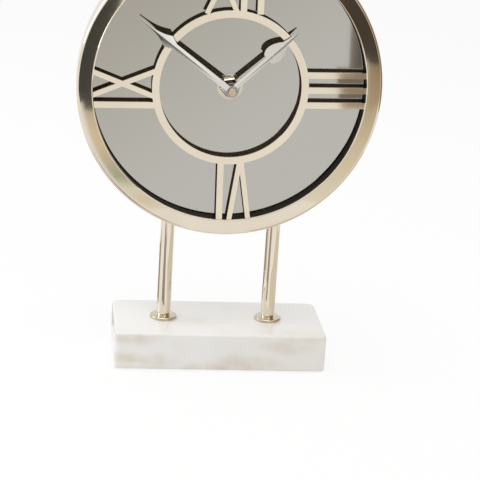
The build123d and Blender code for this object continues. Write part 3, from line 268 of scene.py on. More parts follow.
@dataclass(frozen=True)
class MetalFinish:
    """Bare or plated metal with faint uneven polish."""

    name: str
    colour: Colour
    tint: Colour
    roughness: float
    unevenness: float = 0.03
    cloud_grain: float = 26.0
    cloud_detail: float = 2.0
    grain: float = 900.0
    grain_detail: float = 4.0
    grain_rough: float = 0.6

    def build(self) -> bpy.types.Material:
        """Returns the finished material."""
        sheet = NodeSheet(self.name)
        cloud = sheet.noise(sheet.place(), self.cloud_grain, self.cloud_detail)
        fine = sheet.noise(sheet.place(), self.grain, self.grain_detail, self.grain_rough)
        roughest = self.roughness + self.unevenness
        sheet.shade(
            Base_Color=sheet.blend(sheet.span(cloud, *CLOUDS), self.colour, self.tint),
            Metallic=1.0,
            Roughness=sheet.span(fine, *MIDDLE, self.roughness, roughest),
        )
        return sheet.material


@dataclass(frozen=True)
class CoatedFinish:
    """Paint, plastic or rubber with a fine skin."""

    name: str
    colour: Colour
    roughness: float
    fleck: float = 0.15
    grain: float = 1500.0
    depth: float = 0.00002
    specular: float = 0.5
    grain_detail: float = 3.0
    grain_rough: float = 0.6
    least_fleck: float = 0.02
    smoother: float = 0.04
    rougher: float = 0.06

    def build(self) -> bpy.types.Material:
        """Returns the finished material."""
        sheet = NodeSheet(self.name)
        fine = sheet.noise(sheet.place(), self.grain, self.grain_detail, self.grain_rough)
        pale = tuple(
            min(1.0, part + self.fleck * (part + self.least_fleck)) for part in self.colour
        )
        smoothest = self.roughness - self.smoother
        roughest = self.roughness + self.rougher
        sheet.shade(
            Base_Color=sheet.blend(sheet.span(fine, *FLECKS), self.colour, pale),
            Roughness=sheet.span(fine, *MIDDLE, smoothest, roughest),
            Specular_IOR_Level=self.specular,
        )
        sheet.dent(fine, self.depth)
        return sheet.material


@dataclass(frozen=True)
class MirrorFinish:
    """Grey silvered glass, with painted shade towards its upper left."""

    name: str = "grey_mirror_glass"
    colour: Colour = (0.484, 0.468, 0.428)
    # Painted shade: the darker tone, its ramp and where the ramp starts, standing in for a darker
    # reflection towards the upper left
    painted_shade_colour: Colour = (0.375, 0.355, 0.300)
    painted_shade_ramp: Place = (-3.6, 0.0, 4.4)
    painted_shade_start: Place = (0.03, 0.0, 0.155)
    roughness: float = 0.035

    def build(self) -> bpy.types.Material:
        """Returns the finished material, its colour darkened towards its upper left by painted
        shade.
        """
        sheet = NodeSheet(self.name)
        away = sheet.put("VectorMath", Vector=sheet.place(centre=self.painted_shade_start))
        away.operation = "DOT_PRODUCT"
        away.inputs[1].default_value = self.painted_shade_ramp
        # Painted shade: share of the darker tone, rising towards the upper left
        painted_shade_ramp = sheet.span(away.outputs["Value"], 0.0, 1.0, smooth=True)
        sheet.shade(
            Base_Color=sheet.blend(painted_shade_ramp, self.colour, self.painted_shade_colour),
            Metallic=1.0,
            Roughness=self.roughness,
        )
        return sheet.material


@dataclass(frozen=True)
class CloudPatch:
    """Soft ochre stain in the stone. Sizes are in metres."""

    centre: Place
    reach: Place
    strength: float


@dataclass(frozen=True)
class MarbleFinish:
    """Polished white marble with soft beige clouding."""

    name: str = "white_marble"
    white: Colour = (0.875, 0.858, 0.832)
    grey: Colour = (0.80, 0.768, 0.72)
    ochre: Colour = (0.66, 0.57, 0.42)
    patches: tuple[CloudPatch, ...] = (
        CloudPatch((-0.054, -0.034, 0.007), (0.032, 0.020, 0.008), 0.80),
        CloudPatch((-0.062, -0.034, 0.024), (0.034, 0.014, 0.007), 0.50),
        CloudPatch((-0.010, -0.034, 0.001), (0.085, 0.020, 0.007), 0.65),
        CloudPatch((0.022, -0.034, 0.006), (0.034, 0.020, 0.008), 0.60),
        CloudPatch((0.048, -0.034, 0.019), (0.026, 0.018, 0.007), 0.55),
        CloudPatch((0.060, -0.030, 0.026), (0.030, 0.014, 0.006), 0.45),
        CloudPatch((-0.018, -0.010, 0.027), (0.030, 0.014, 0.010), 0.30),
    )
    wander_grain: float = 34.0
    wander_detail: float = 4.0
    wander: float = 0.016
    broad_grain: float = 14.0
    broad_detail: float = 4.0
    broad_rough: float = 0.55
    broad_part: Range = (0.42, 0.72)
    greyest: float = 0.7
    fine_grain: float = 60.0
    fine_detail: float = 5.0
    fine_rough: float = 0.6
    ragged_part: Range = (0.30, 0.62)
    least_stain: float = 0.25
    stain_core: float = 0.1
    polish: Range = (0.30, 0.38)
    coat: float = 0.25
    coat_roughness: float = 0.18
    depth: float = 0.00003

    def build(self) -> bpy.types.Material:
        """Returns the finished material."""
        sheet = NodeSheet(self.name)
        where = sheet.place()
        broad = sheet.noise(where, self.broad_grain, self.broad_detail, self.broad_rough)
        fine = sheet.noise(where, self.fine_grain, self.fine_detail, self.fine_rough)
        greyness = sheet.span(broad, *self.broad_part, 0.0, self.greyest, True)
        body = sheet.blend(greyness, self.white, self.grey)
        pushed = self.pushed_place(sheet, where)
        stain: bpy.types.NodeSocket | float = 0.0
        for patch in self.patches:
            stain = sheet.reckon("MAXIMUM", stain, self.patch_share(sheet, pushed, patch))
        ragged = sheet.span(fine, *self.ragged_part, self.least_stain, 1.0, True)
        sheet.shade(
            Base_Color=sheet.blend(sheet.reckon("MULTIPLY", stain, ragged), body, self.ochre),
            Roughness=sheet.span(fine, *MIDDLE, *self.polish),
            Coat_Weight=self.coat,
            Coat_Roughness=self.coat_roughness,
        )
        sheet.dent(fine, self.depth)
        return sheet.material

    def pushed_place(
        self, sheet: NodeSheet, where: bpy.types.NodeSocket
    ) -> bpy.types.NodeSocket:
        """Coordinates that a noise field pushes about, so that the stains run like veins.

        Args:
            sheet: Node tree of the stone.
            where: Plain coordinates.

        Returns:
            The vector socket.
        """
        cells = sheet.put(
            "TexNoise", Vector=where, Scale=self.wander_grain, Detail=self.wander_detail
        )
        push = sheet.put("VectorMath", Vector=cells.outputs["Color"])
        push.operation = "MULTIPLY_ADD"
        push.inputs[1].default_value = (self.wander,) * 3
        push.inputs[2].default_value = (-self.wander / 2,) * 3
        moved = sheet.put("VectorMath", Vector=where)
        moved.operation = "ADD"
        sheet.join(push.outputs["Vector"], moved.inputs[1])
        return moved.outputs["Vector"]

    def patch_share(
        self, sheet: NodeSheet, where: bpy.types.NodeSocket, patch: CloudPatch
    ) -> bpy.types.NodeSocket:
        """Share of ochre that one stain adds at a place.

        Args:
            sheet: Node tree of the stone.
            where: Coordinates.
            patch: The stain.

        Returns:
            The value socket.
        """
        moved = sheet.put("VectorMath", Vector=where)
        moved.operation = "SUBTRACT"
        moved.inputs[1].default_value = patch.centre
        shrunk = sheet.put("VectorMath", Vector=moved.outputs["Vector"])
        shrunk.operation = "DIVIDE"
        shrunk.inputs[1].default_value = patch.reach
        away = sheet.put("VectorMath", Vector=shrunk.outputs["Vector"])
        away.operation = "LENGTH"
        share = (0.0, patch.strength)
        return sheet.span(away.outputs["Value"], 1.0, self.stain_core, *share, True)


@dataclass(frozen=True)
class FeltFinish:
    """Pressed felt with loose fibres."""

    name: str = "grey_felt"
    colour: Colour = (0.42, 0.41, 0.39)
    light: Colour = (0.56, 0.55, 0.53)
    stretch: Place = (1.0, 0.35, 1.0)
    grain: float = 2600.0
    grain_detail: float = 4.0
    grain_rough: float = 0.7
    roughness: float = 0.95
    sheen: float = 0.35
    sheen_roughness: float = 0.5
    depth: float = 0.00015

    def build(self) -> bpy.types.Material:
        """Returns the finished material."""
        sheet = NodeSheet(self.name)
        where = sheet.place(self.stretch)
        fibre = sheet.noise(where, self.grain, self.grain_detail, self.grain_rough)
        sheet.shade(
            Base_Color=sheet.blend(sheet.span(fibre, *FIBRES), self.colour, self.light),
            Roughness=self.roughness,
            Sheen_Weight=self.sheen,
            Sheen_Roughness=self.sheen_roughness,
        )
        sheet.dent(fibre, self.depth)
        return sheet.material


@dataclass(frozen=True)
class WindingFinish:
    """Enamelled copper wire, wound in turns along a bobbin."""

    name: str = "copper_winding"
    colour: Colour = (0.72, 0.32, 0.14)
    dark: Colour = (0.30, 0.10, 0.04)
    wave_scale: float = 210.0
    distortion: float = 0.3
    metallic: float = 0.8
    roughness: float = 0.32
    depth: float = 0.0001

    def build(self) -> bpy.types.Material:
        """Returns the finished material."""
        sheet = NodeSheet(self.name)
        wave = sheet.put(
            "TexWave", Vector=sheet.place(), Scale=self.wave_scale, Distortion=self.distortion
        )
        wave.bands_direction = "X"
        turn = wave.outputs["Fac"]
        sheet.shade(
            Base_Color=sheet.blend(turn, self.dark, self.colour),
            Metallic=self.metallic,
            Roughness=self.roughness,
        )
        sheet.dent(turn, self.depth)
        return sheet.material


@dataclass(frozen=True)
class WrapFinish:
    """Plain printed sleeve of a dry cell: dull grey with a pale end band."""

    name: str = "cell_sleeve"
    colour: Colour = (0.10, 0.13, 0.16)
    band: Colour = (0.62, 0.62, 0.60)
    band_start: float = 0.0145
    band_edge: float = 0.0002
    grain: float = 900.0
    gloss: Range = (0.28, 0.36)

    def build(self) -> bpy.types.Material:
        """Returns the finished material."""
        sheet = NodeSheet(self.name)
        along = sheet.put("SeparateXYZ", Vector=sheet.place())
        band_full = self.band_start + self.band_edge
        edge = sheet.span(along.outputs["X"], self.band_start, band_full)
        fine = sheet.noise(sheet.place(), self.grain)
        sheet.shade(
            Base_Color=sheet.blend(edge, self.colour, self.band),
            Roughness=sheet.span(fine, *MIDDLE, *self.gloss),
        )
        return sheet.material


NICKEL = MetalFinish("polished_nickel", (0.80, 0.735, 0.62), (0.78, 0.71, 0.59), 0.05)
FLANGE_NICKEL = MetalFinish("flange_nickel", (0.60, 0.535, 0.42), (0.55, 0.48, 0.37), 0.20)
HUB_NICKEL = MetalFinish("hub_nickel", (0.66, 0.60, 0.50), (0.60, 0.53, 0.43), 0.12)
RING_NICKEL = MetalFinish("ring_nickel", (0.77, 0.695, 0.575), (0.74, 0.66, 0.535), 0.055, 0.02)
PLATE_NICKEL = MetalFinish("champagne_nickel", (0.78, 0.70, 0.56), (0.75, 0.665, 0.53), 0.05, 0.02)
SILVER = MetalFinish("hand_silver", (0.76, 0.74, 0.70), (0.72, 0.70, 0.655), 0.14)
STEEL = MetalFinish("zinc_steel", (0.62, 0.62, 0.61), (0.52, 0.52, 0.52), 0.30, 0.12)
BRASS = MetalFinish("turned_brass", (0.80, 0.62, 0.32), (0.74, 0.55, 0.27), 0.16)
CAP_BRASS = MetalFinish("cap_brass", (0.62, 0.52, 0.38), (0.54, 0.44, 0.31), 0.16)
HUB_GREY = MetalFinish("hub_grey", (0.40, 0.385, 0.35), (0.34, 0.325, 0.295), 0.20)
CONTACT = MetalFinish("tinned_contact", (0.75, 0.75, 0.73), (0.66, 0.66, 0.65), 0.24, 0.08)
MAGNET = MetalFinish("sintered_magnet", (0.24, 0.24, 0.25), (0.17, 0.17, 0.18), 0.45, 0.1)
BLACKED = CoatedFinish("blackened_back", (0.200, 0.165, 0.130), 0.6)
SPACER_BLACK = CoatedFinish("spacer_black", (0.014, 0.010, 0.007), 0.6, specular=0.1)
BOARD_BLACK = CoatedFinish("board_black", (0.030, 0.029, 0.028), 0.62, 0.5, 700.0, 0.00006)
CASE_BLACK = CoatedFinish("moulded_case_black", (0.022, 0.022, 0.023), 0.42, 0.2, 1400.0, 0.00004)
RUBBER = CoatedFinish("rubber_black", (0.020, 0.020, 0.020), 0.78, 0.4, 1800.0, 0.00003)
WHEEL_WHITE = CoatedFinish("wheel_nylon", (0.74, 0.73, 0.68), 0.38)
KNOB_WHITE = CoatedFinish("knob_grey", (0.32, 0.32, 0.32), 0.45)
LAMINATE = CoatedFinish("circuit_laminate", (0.03, 0.19, 0.07), 0.34, 0.5, 500.0)

# Tones of the studio's cards
LINE_BROWN = (0.40, 0.34, 0.28)
SIDE_BEIGE = (0.76, 0.71, 0.63)
BAR_BROWN = (0.33, 0.27, 0.21)
FLAG_DARK = (0.068, 0.068, 0.064)


# Shapes

# Distances in millimetres under which points are joined, and the angle in degrees of a flat fold
SPIN_WELD = 0.0005
COPY_WELD = 0.002
FLAT_FOLD = 0.6

# Least cosine with straight back of a face that lies behind a sheet
BACK_FACING = 0.9


def turned(
    profile: Sequence[Point], centre: Vector, axis: Axis, closed: bool, steps: int
) -> bmesh.types.BMesh:
    """Turned solid, in millimetres.

    Args:
        profile: Distance from the axis and place along it, point by point.
        centre: Point on the axis that places along it are counted from.
        axis: Direction of the axis.
        closed: Whether the profile's ends meet, as they do off the axis.
        steps: Facets in a full turn.

    Returns:
        The shape, with its normals outwards.
    """
    outward = Vector((0, 0, 1)) if axis is Axis.ALONG else Vector((1, 0, 0))
    shape = bmesh.new()
    points = [
        shape.verts.new(centre + outward * reach + axis.value * along) for reach, along in profile
    ]
    runs = [shape.edges.new(pair) for pair in zip(points, points[1:])]
    if closed:
        runs.append(shape.edges.new((points[-1], points[0])))
    bmesh.ops.spin(
        shape,
        geom=[*points, *runs],
        cent=centre,
        axis=axis.value,
        dvec=(0, 0, 0),
        angle=FULL_TURN,
        steps=steps,
        use_merge=True,
        use_normal_flip=False,
        use_duplicate=False,
    )
    bmesh.ops.remove_doubles(shape, verts=shape.verts, dist=SPIN_WELD)
    bmesh.ops.recalc_face_normals(shape, faces=shape.faces)
    return shape


def arc(centre: Point, radius: float, start: float, end: float, parts: int) -> list[Point]:
    """Points of an arc in a profile.

    Args:
        centre: Centre of the arc.
        radius: Radius.
        start: Angle of the first point, in degrees from the first axis.
        end: Angle of the last point.
        parts: Number of chords.

    Returns:
        The points, ends included.
    """
    turns = [math.radians(start + (end - start) * part / parts) for part in range(parts + 1)]
    return [
        (centre[0] + radius * math.cos(turn), centre[1] + radius * math.sin(turn)) for turn in turns
    ]


def joined_copy(node: str) -> bmesh.types.BMesh:
    """Copy of a CAD node in millimetres, its triangles joined and its flat faces cleaned.

    Args:
        node: Name of the node.

    Returns:
        The closed shape.
    """
    shape = bmesh.new()
    shape.from_mesh(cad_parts[node].data)
    bmesh.ops.scale(shape, vec=(1 / MM,) * 3, verts=shape.verts)
    bmesh.ops.remove_doubles(shape, verts=shape.verts, dist=COPY_WELD)
    bmesh.ops.dissolve_limit(
        shape,
        angle_limit=math.radians(FLAT_FOLD),
        use_dissolve_boundaries=False,
        verts=shape.verts,
        edges=shape.edges,
        delimit=set(),
    )
    bmesh.ops.recalc_face_normals(shape, faces=shape.faces)
    return shape


@dataclass(frozen=True)
class Piece:
    """What a new piece is called, rides on and stands for."""

    name: str
    body: Body
    slot: Slot
    replaced: tuple[str, ...]

    def add(
        self,
        shape: bmesh.types.BMesh,
        materials: Sequence[bpy.types.Material],
        crease: float = 30.0,
    ) -> bpy.types.Object:
        """Puts the piece in the scene.

        Args:
            shape: Its shape in millimetres, used up by this.
            materials: Its materials, in the order of the faces' indices.
            crease: Angle in degrees above which an edge stays sharp.

        Returns:
            The object.
        """
        bmesh.ops.scale(shape, vec=(MM,) * 3, verts=shape.verts)
        mesh = bpy.data.meshes.new(self.name)
        shape.to_mesh(mesh)
        shape.free()
        for stale in ("custom_normal", "sharp_edge", "sharp_face"):
            if stale in mesh.attributes:
                mesh.attributes.remove(mesh.attributes[stale])
        for material in materials:
            mesh.materials.append(material)
        mesh.shade_smooth()
        mesh.set_sharp_from_angle(angle=math.radians(crease))
        piece = bpy.data.objects.new(self.name, mesh)
        bpy.context.scene.collection.objects.link(piece)
        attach(piece, self.body.value)
        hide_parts(*self.replaced)
        LOG.info("%s: %d faces", self.name, len(mesh.polygons))
        return piece


def dress_node(node: str, material: bpy.types.Material) -> None:
    """Gives a CAD node's slots a material."""
    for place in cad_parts[node].material_slots:
        place.material = material
    LOG.info("%s: dressed in %s", node, material.name)


# Sub-assemblies


@dataclass
class CaseRing:
    """Turned ring with a raised lip, a sloping face and a rounded rim. Sizes are in millimetres."""

    outer: float = 103.5
    bore: float = 96.0
    lip_inner: float = 92.5
    crest_inner: float = 92.9
    crest_outer: float = 93.1
    lip_outer: float = 93.4
    front: float = -12.5
    crest_drop: float = 0.02
    lip_foot: float = -12.2
    rebate: float = -11.2
    face_end: float = -11.6
    rear: float = 9.5
    rim_radius: float = 2.0
    rim_parts: int = 8
    rear_chamfer: float = 0.6
    steps: int = 360
    crease: float = 20.0

    def build(self) -> None:
        """Turns the ring and dresses it."""
        shoulder = self.outer - self.rim_radius
        rim_centre = (shoulder, self.face_end + self.rim_radius)
        profile = [
            *arc(rim_centre, self.rim_radius, -90, 0, self.rim_parts),
            (self.outer, self.rear - self.rear_chamfer),
            (self.outer - self.rear_chamfer, self.rear),
            (self.bore, self.rear),
            (self.bore, self.rebate),
            (self.lip_inner, self.rebate),
            (self.lip_inner, self.lip_foot),
            (self.crest_inner, self.front + self.crest_drop),
            (self.crest_outer, self.front),
            (self.lip_outer, self.lip_foot),
        ]
        centre = Vector((0, 0, DIAL_HEIGHT))
        shape = turned(profile, centre, Axis.BACKWARD, True, self.steps)
        ring = Piece("case_ring_turned", Body.CLOCK, Slot.RING, ("case_ring",))
        ring.add(shape, [RING_NICKEL.build()], self.crease)


@dataclass
class Posts:
    """Two turned posts with a necked foot, each on a thin flange. Sizes are in millimetres."""

    spacing: float = 74.0
    radius: float = 4.85
    neck_radius: float = 4.35
    foot: float = 29.5
    neck_top: float = 31.3
    edge: float = 0.25
    bolt_hole: float = 2.55
    bolt_depth: float = 13.0
    stud_hole: float = 2.05
    stud_foot: float = 90.84
    ring_radius: float = 103.5
    flange_radius: float = 9.4
    flange_foot: float = 27.5
    flange_edge: float = 0.8
    flange_parts: int = 6
    flange_hole: float = 2.7
    steps: int = 96

    def build(self) -> None:
        """Turns both posts and both flanges."""
        nickel = NICKEL.build()
        satin = FLANGE_NICKEL.build()
        for side, label in ((-1, "left"), (1, "right")):
            centre = Vector((side * self.spacing / 2, 0, 0))
            post = Piece(f"post_{label}_turned", Body.CLOCK, Slot.NICKEL, (f"post_{label}",))
            post.add(self.post_shape(centre), [nickel])
            flange = Piece(
                f"flange_{label}_turned", Body.CLOCK, Slot.NICKEL, (f"flange_{label}",)
            )
            flange.add(self.flange_shape(centre), [satin])

    def post_shape(self, centre: Vector) -> bmesh.types.BMesh:
        """Post whose top sits on the ring's rim.

        Args:
            centre: Place of its axis.

        Returns:
            The shape.
        """
        top = DIAL_HEIGHT - self.ring_radius + 2 * self.radius
        profile = [
            (0.0, self.foot + self.bolt_depth),
            (self.bolt_hole, self.foot + self.bolt_depth),
            (self.bolt_hole, self.foot),
            (self.neck_radius, self.foot),
            (self.neck_radius, self.neck_top - self.edge),
            (self.radius - self.edge, self.neck_top),
            (self.radius, self.neck_top + self.edge),
            (self.radius, top),
            (self.stud_hole, top),
            (self.stud_hole, self.stud_foot),
            (0.0, self.stud_foot),
        ]
        shape = turned(profile, centre, Axis.UP, False, self.steps)
        for vert in shape.verts:
            if abs(vert.co.z - top) < self.edge:
                vert.co.z = DIAL_HEIGHT - math.sqrt(self.ring_radius**2 - vert.co.x**2)
        return shape

    def flange_shape(self, centre: Vector) -> bmesh.types.BMesh:
        """Thin disc with a rounded upper edge.

        Args:
            centre: Place of its axis.

        Returns:
            The shape.
        """
        low = self.flange_radius - self.flange_edge
        profile = [
            (self.flange_hole, self.flange_foot),
            (self.flange_radius - self.edge / 2, self.flange_foot),
            (self.flange_radius, self.flange_foot + self.edge / 2),
            *arc(
                (low, self.foot - self.flange_edge), self.flange_edge, 0, 90, self.flange_parts
            ),
            (self.flange_hole, self.foot),
        ]
        return turned(profile, centre, Axis.UP, True, self.steps)


@dataclass
class NumeralPlate:
    """Skeleton plate with the chapter ring and numerals, blackened behind."""

    def build(self) -> None:
        """Copies the plate and dresses its front and its back."""
        shape = joined_copy("numeral_plate")
        shape.normal_update()
        for face in shape.faces:
            face.material_index = int(face.normal.y > BACK_FACING)
        plate = Piece("numeral_plate_cut", Body.CLOCK, Slot.PLATE, ("numeral_plate",))
        plate.add(shape, [PLATE_NICKEL.build(), BLACKED.build()])


@dataclass
class Hands:
    """Ridged spade and spear hands with black backs and a domed nut. Sizes are in millimetres."""

    side_facing: float = 0.01
    front_facing: float = 0.9999
    hub_radius: float = 4.0
    nut_radius: float = 2.8
    nut_back: float = -21.8
    nut_front: float = -23.6
    nut_dome: float = 0.5
    dome_parts: int = 8
    nut_hole: float = 1.25
    nut_hole_end: float = -23.15
    steps: int = 64
    crease: float = 12.0

    def build(self) -> None:
        """Builds both hands and their nut."""
        finishes = [SILVER.build(), BLACKED.build(), HUB_GREY.build()]
        for name, body in (("hour_hand", Body.HOUR), ("minute_hand", Body.MINUTE)):
            shape = joined_copy(name)
            shape.normal_update()
            for face in shape.faces:
                face.material_index = self.finish_of(face)
            hand = Piece(f"{name}_ridged", body, Slot.HAND, (name,))
            hand.add(shape, finishes, self.crease)
        self.build_nut()

    def finish_of(self, face: bmesh.types.BMFace) -> int:
        """Index of a face's finish: silver in front, black behind, grey on the turned hub.

        Args:
            face: Face of a hand.

        Returns:
            The index.
        """
        middle = face.calc_center_median()
        if face.normal.y > BACK_FACING:
            return 1
        if math.hypot(middle.x, middle.z - DIAL_HEIGHT) < self.hub_radius:
            return 2 if self.is_turned(face.normal) else 0
        return 0

    def build_nut(self) -> None:
        """Turns the domed nut."""
        centre = Vector((0, 0, DIAL_HEIGHT))
        dome = (self.nut_radius - self.nut_dome, self.nut_front + self.nut_dome)
        profile = [
            (0.0, self.nut_front),
            *arc(dome, self.nut_dome, -90, 0, self.dome_parts),
            (self.nut_radius, self.nut_back),
            (self.nut_hole, self.nut_back),
            (self.nut_hole, self.nut_hole_end),
            (0.0, self.nut_hole_end),
        ]
        shape = turned(profile, centre, Axis.BACKWARD, False, self.steps)
        nut = Piece("hand_nut_domed", Body.MINUTE, Slot.NUT, ("hand_nut",))
        nut.add(shape, [CAP_BRASS.build()])

    def is_turned(self, normal: Vector) -> bool:
        """Whether a face of the hub looks straight ahead or straight away from the axis."""
        return abs(normal.y) < self.side_facing or normal.y < -self.front_facing


@dataclass
class DryCell:
    """Dry cell lying along X, with a sleeve, rolled ends and a button. Sizes are in millimetres."""

    centre: Vector = field(default_factory=lambda: Vector((0, 13.3, 177.5)))
    radius: float = 7.1
    left: float = -25.25
    shoulder: float = 23.95
    tip: float = 25.25
    button_radius: float = 2.75
    button_edge: float = 0.3
    button_groove: float = 0.5
    groove_depth: float = 0.25
    dish_radius: float = 4.6
    dish_edge: float = 4.9
    dish_depth: float = 0.3
    sleeve: float = 0.12
    roll: float = 0.6
    steps: int = 64

    def build(self) -> None:
        """Builds the cell in two materials."""
        metal = self.radius - self.sleeve
        profile = [
            (0.0, self.left + self.dish_depth),
            (self.dish_radius, self.left + self.dish_depth),
            (self.dish_edge, self.left),
            (metal - self.roll, self.left),
            (metal, self.left + self.roll),
            (self.radius, self.left + self.roll),
            (self.radius, self.shoulder - self.roll),
            (metal, self.shoulder - self.roll),
            (metal, self.shoulder - self.roll / 2),
            (metal - self.roll / 2, self.shoulder),
            (self.button_radius + self.button_groove, self.shoulder - self.groove_depth),
            (self.button_radius, self.shoulder - self.groove_depth),
            (self.button_radius, self.tip - self.button_edge),
            (self.button_radius - self.button_edge, self.tip),
            (0.0, self.tip),
        ]
        shape = turned(profile, self.centre, Axis.ALONG, False, self.steps)
        low, high = self.left + self.roll, self.shoulder - self.roll
        for face in shape.faces:
            middle = face.calc_center_median()
            face.material_index = int(not low < middle.x < high)
        cell = Piece("dry_cell", Body.CELL, Slot.WRAP, ("battery",))
        cell.add(shape, [WrapFinish().build(), CONTACT.build()])


@dataclass
class CarriedNodes:
    """CAD nodes whose shape stays, with the finish that each one gets."""

    nodes: dict[str, tuple[Finish, tuple[str, ...]]] = field(
        default_factory=lambda: {
            "stone": (MarbleFinish(), ("marble_base",)),
            "felt": (FeltFinish(), ("base_felt",)),
            "mirror": (MirrorFinish(), ("mirror_disc",)),
            "hub": (HUB_NICKEL, ("dial_washer", "dial_nut")),
            "spacer": (SPACER_BLACK, ("dial_spacer",)),
            "board": (BOARD_BLACK, ("backing_board",)),
            "case": (CASE_BLACK, ("movement_housing", "movement_cover")),
            "rubber": (RUBBER, ("rubber_washer",)),
            "steel": (
                STEEL,
                (
                    "base_bolts",
                    "base_washers",
                    "ring_studs",
                    "board_clips",
                    "clip_screws",
                    "stator",
                ),
            ),
            "brass": (BRASS, ("minute_arbor",)),
            "wheels": (
                WHEEL_WHITE,
                (
                    "hour_wheel",
                    "works_wheel",
                    "centre_wheel",
                    "third_wheel",
                    "fourth_wheel",
                    "fifth_wheel",
                ),
            ),
            "knob": (KNOB_WHITE, ("setting_knob",)),
            "magnet": (MAGNET, ("rotor",)),
            "coil": (WindingFinish(), ("coil",)),
            "circuit": (LAMINATE, ("circuit_board",)),
            "contacts": (CONTACT, ("contact_negative", "contact_positive")),
        }
    )

    def dress(self) -> None:
        """Gives every kept node its finish."""
        for finish, names in self.nodes.values():
            material = finish.build()
            for name in names:
                dress_node(name, material)


# Studio


@dataclass(frozen=True)
class Flag:
    """Card that only polished pieces show, toned at each corner. Sizes are in metres."""

    name: str
    corners: tuple[Place, ...]
    tones: tuple[Colour, ...]

    def put_up(self) -> None:
        """Puts the card up as part of the studio, in strips between pairs of corners."""
        sheet = bpy.data.materials.new(self.name)
        sheet.use_nodes = True
        nodes = sheet.node_tree.nodes
        nodes.clear()
        tone = nodes.new("ShaderNodeVertexColor")
        tone.layer_name = "tone"
        glow = nodes.new("ShaderNodeEmission")
        output = nodes.new("ShaderNodeOutputMaterial")
        sheet.node_tree.links.new(tone.outputs["Color"], glow.inputs["Color"])
        sheet.node_tree.links.new(glow.outputs["Emission"], output.inputs["Surface"])
        shape = bmesh.new()
        points = [shape.verts.new(corner) for corner in self.corners]
        pairs = list(zip(points[::2], points[1::2]))
        for (low, high), (next_low, next_high) in zip(pairs, pairs[1:]):
            shape.faces.new((low, next_low, next_high, high))
        mesh = bpy.data.meshes.new(self.name)
        shape.to_mesh(mesh)
        shape.free()
        mesh.materials.append(sheet)
        layer = mesh.color_attributes.new("tone", "FLOAT_COLOR", "POINT")
        for place, colour in zip(layer.data, self.tones):
            place.color = (*colour, 1.0)
        card = bpy.data.objects.new(self.name, mesh)
        bpy.context.scene.collection.objects.link(card)
        card.visible_camera = False
        card.visible_diffuse = False
        card.visible_shadow = False
        card.visible_transmission = False


def upright_flag(
    name: str, left: float, right: float, low: float, high: float, tone: Colour
) -> Flag:
    """Plain card that stands across in front of the clock.

    Args:
        name: Name of the card.
        left: Its left edge, in metres.
        right: Its right edge.
        low: Its lower edge.
        high: Its upper edge.
        tone: Its tone.

    Returns:
        The card.
    """
    corners = tuple((x, CARD_FRONT, z) for x in (left, right) for z in (low, high))
    return Flag(name, corners, (tone,) * len(corners))


def floor_sweep(name: str, stations: Sequence[tuple[float, float, Colour]], half: float) -> Flag:
    """Card that lies on the floor along a path, with its tone fading from place to place.

    Args:
        name: Name of the card.
        stations: X, Y and tone of each point of the path, in metres.
        half: Half of its width.

    Returns:
        The card.
    """
    places = [Vector((x, y, CARD_LIFT)) for x, y, _ in stations]
    corners: list[Place] = []
    tones: list[Colour] = []
    for index, (place, station) in enumerate(zip(places, stations)):
        ahead = places[min(index + 1, len(places) - 1)] - places[max(index - 1, 0)]
        side = Vector((-ahead.y, ahead.x, 0)).normalized() * half
        corners.extend((tuple(place - side), tuple(place + side)))
        tones.extend((station[2], station[2]))
    return Flag(name, tuple(corners), tuple(tones))


@dataclass(frozen=True)
class Lamp:
    """Soft square lamp. Sizes are in metres."""

    name: str
    place: Place
    aim: Place
    size: float
    power: float
    colour: Colour = (1.0, 1.0, 1.0)

    def hang(self) -> None:
        """Adds the lamp to the scene."""
        light = bpy.data.lights.new(self.name, "AREA")
        light.shape = "SQUARE"
        light.size = self.size
        light.energy = self.power
        light.color = self.colour
        lamp = bpy.data.objects.new(self.name, light)
        place = Vector(self.place)
        turn = (Vector(self.aim) - place).to_track_quat("-Z", "Y").to_matrix().to_4x4()
        lamp.matrix_world = Matrix.Translation(place) @ turn
        bpy.context.scene.collection.objects.link(lamp)


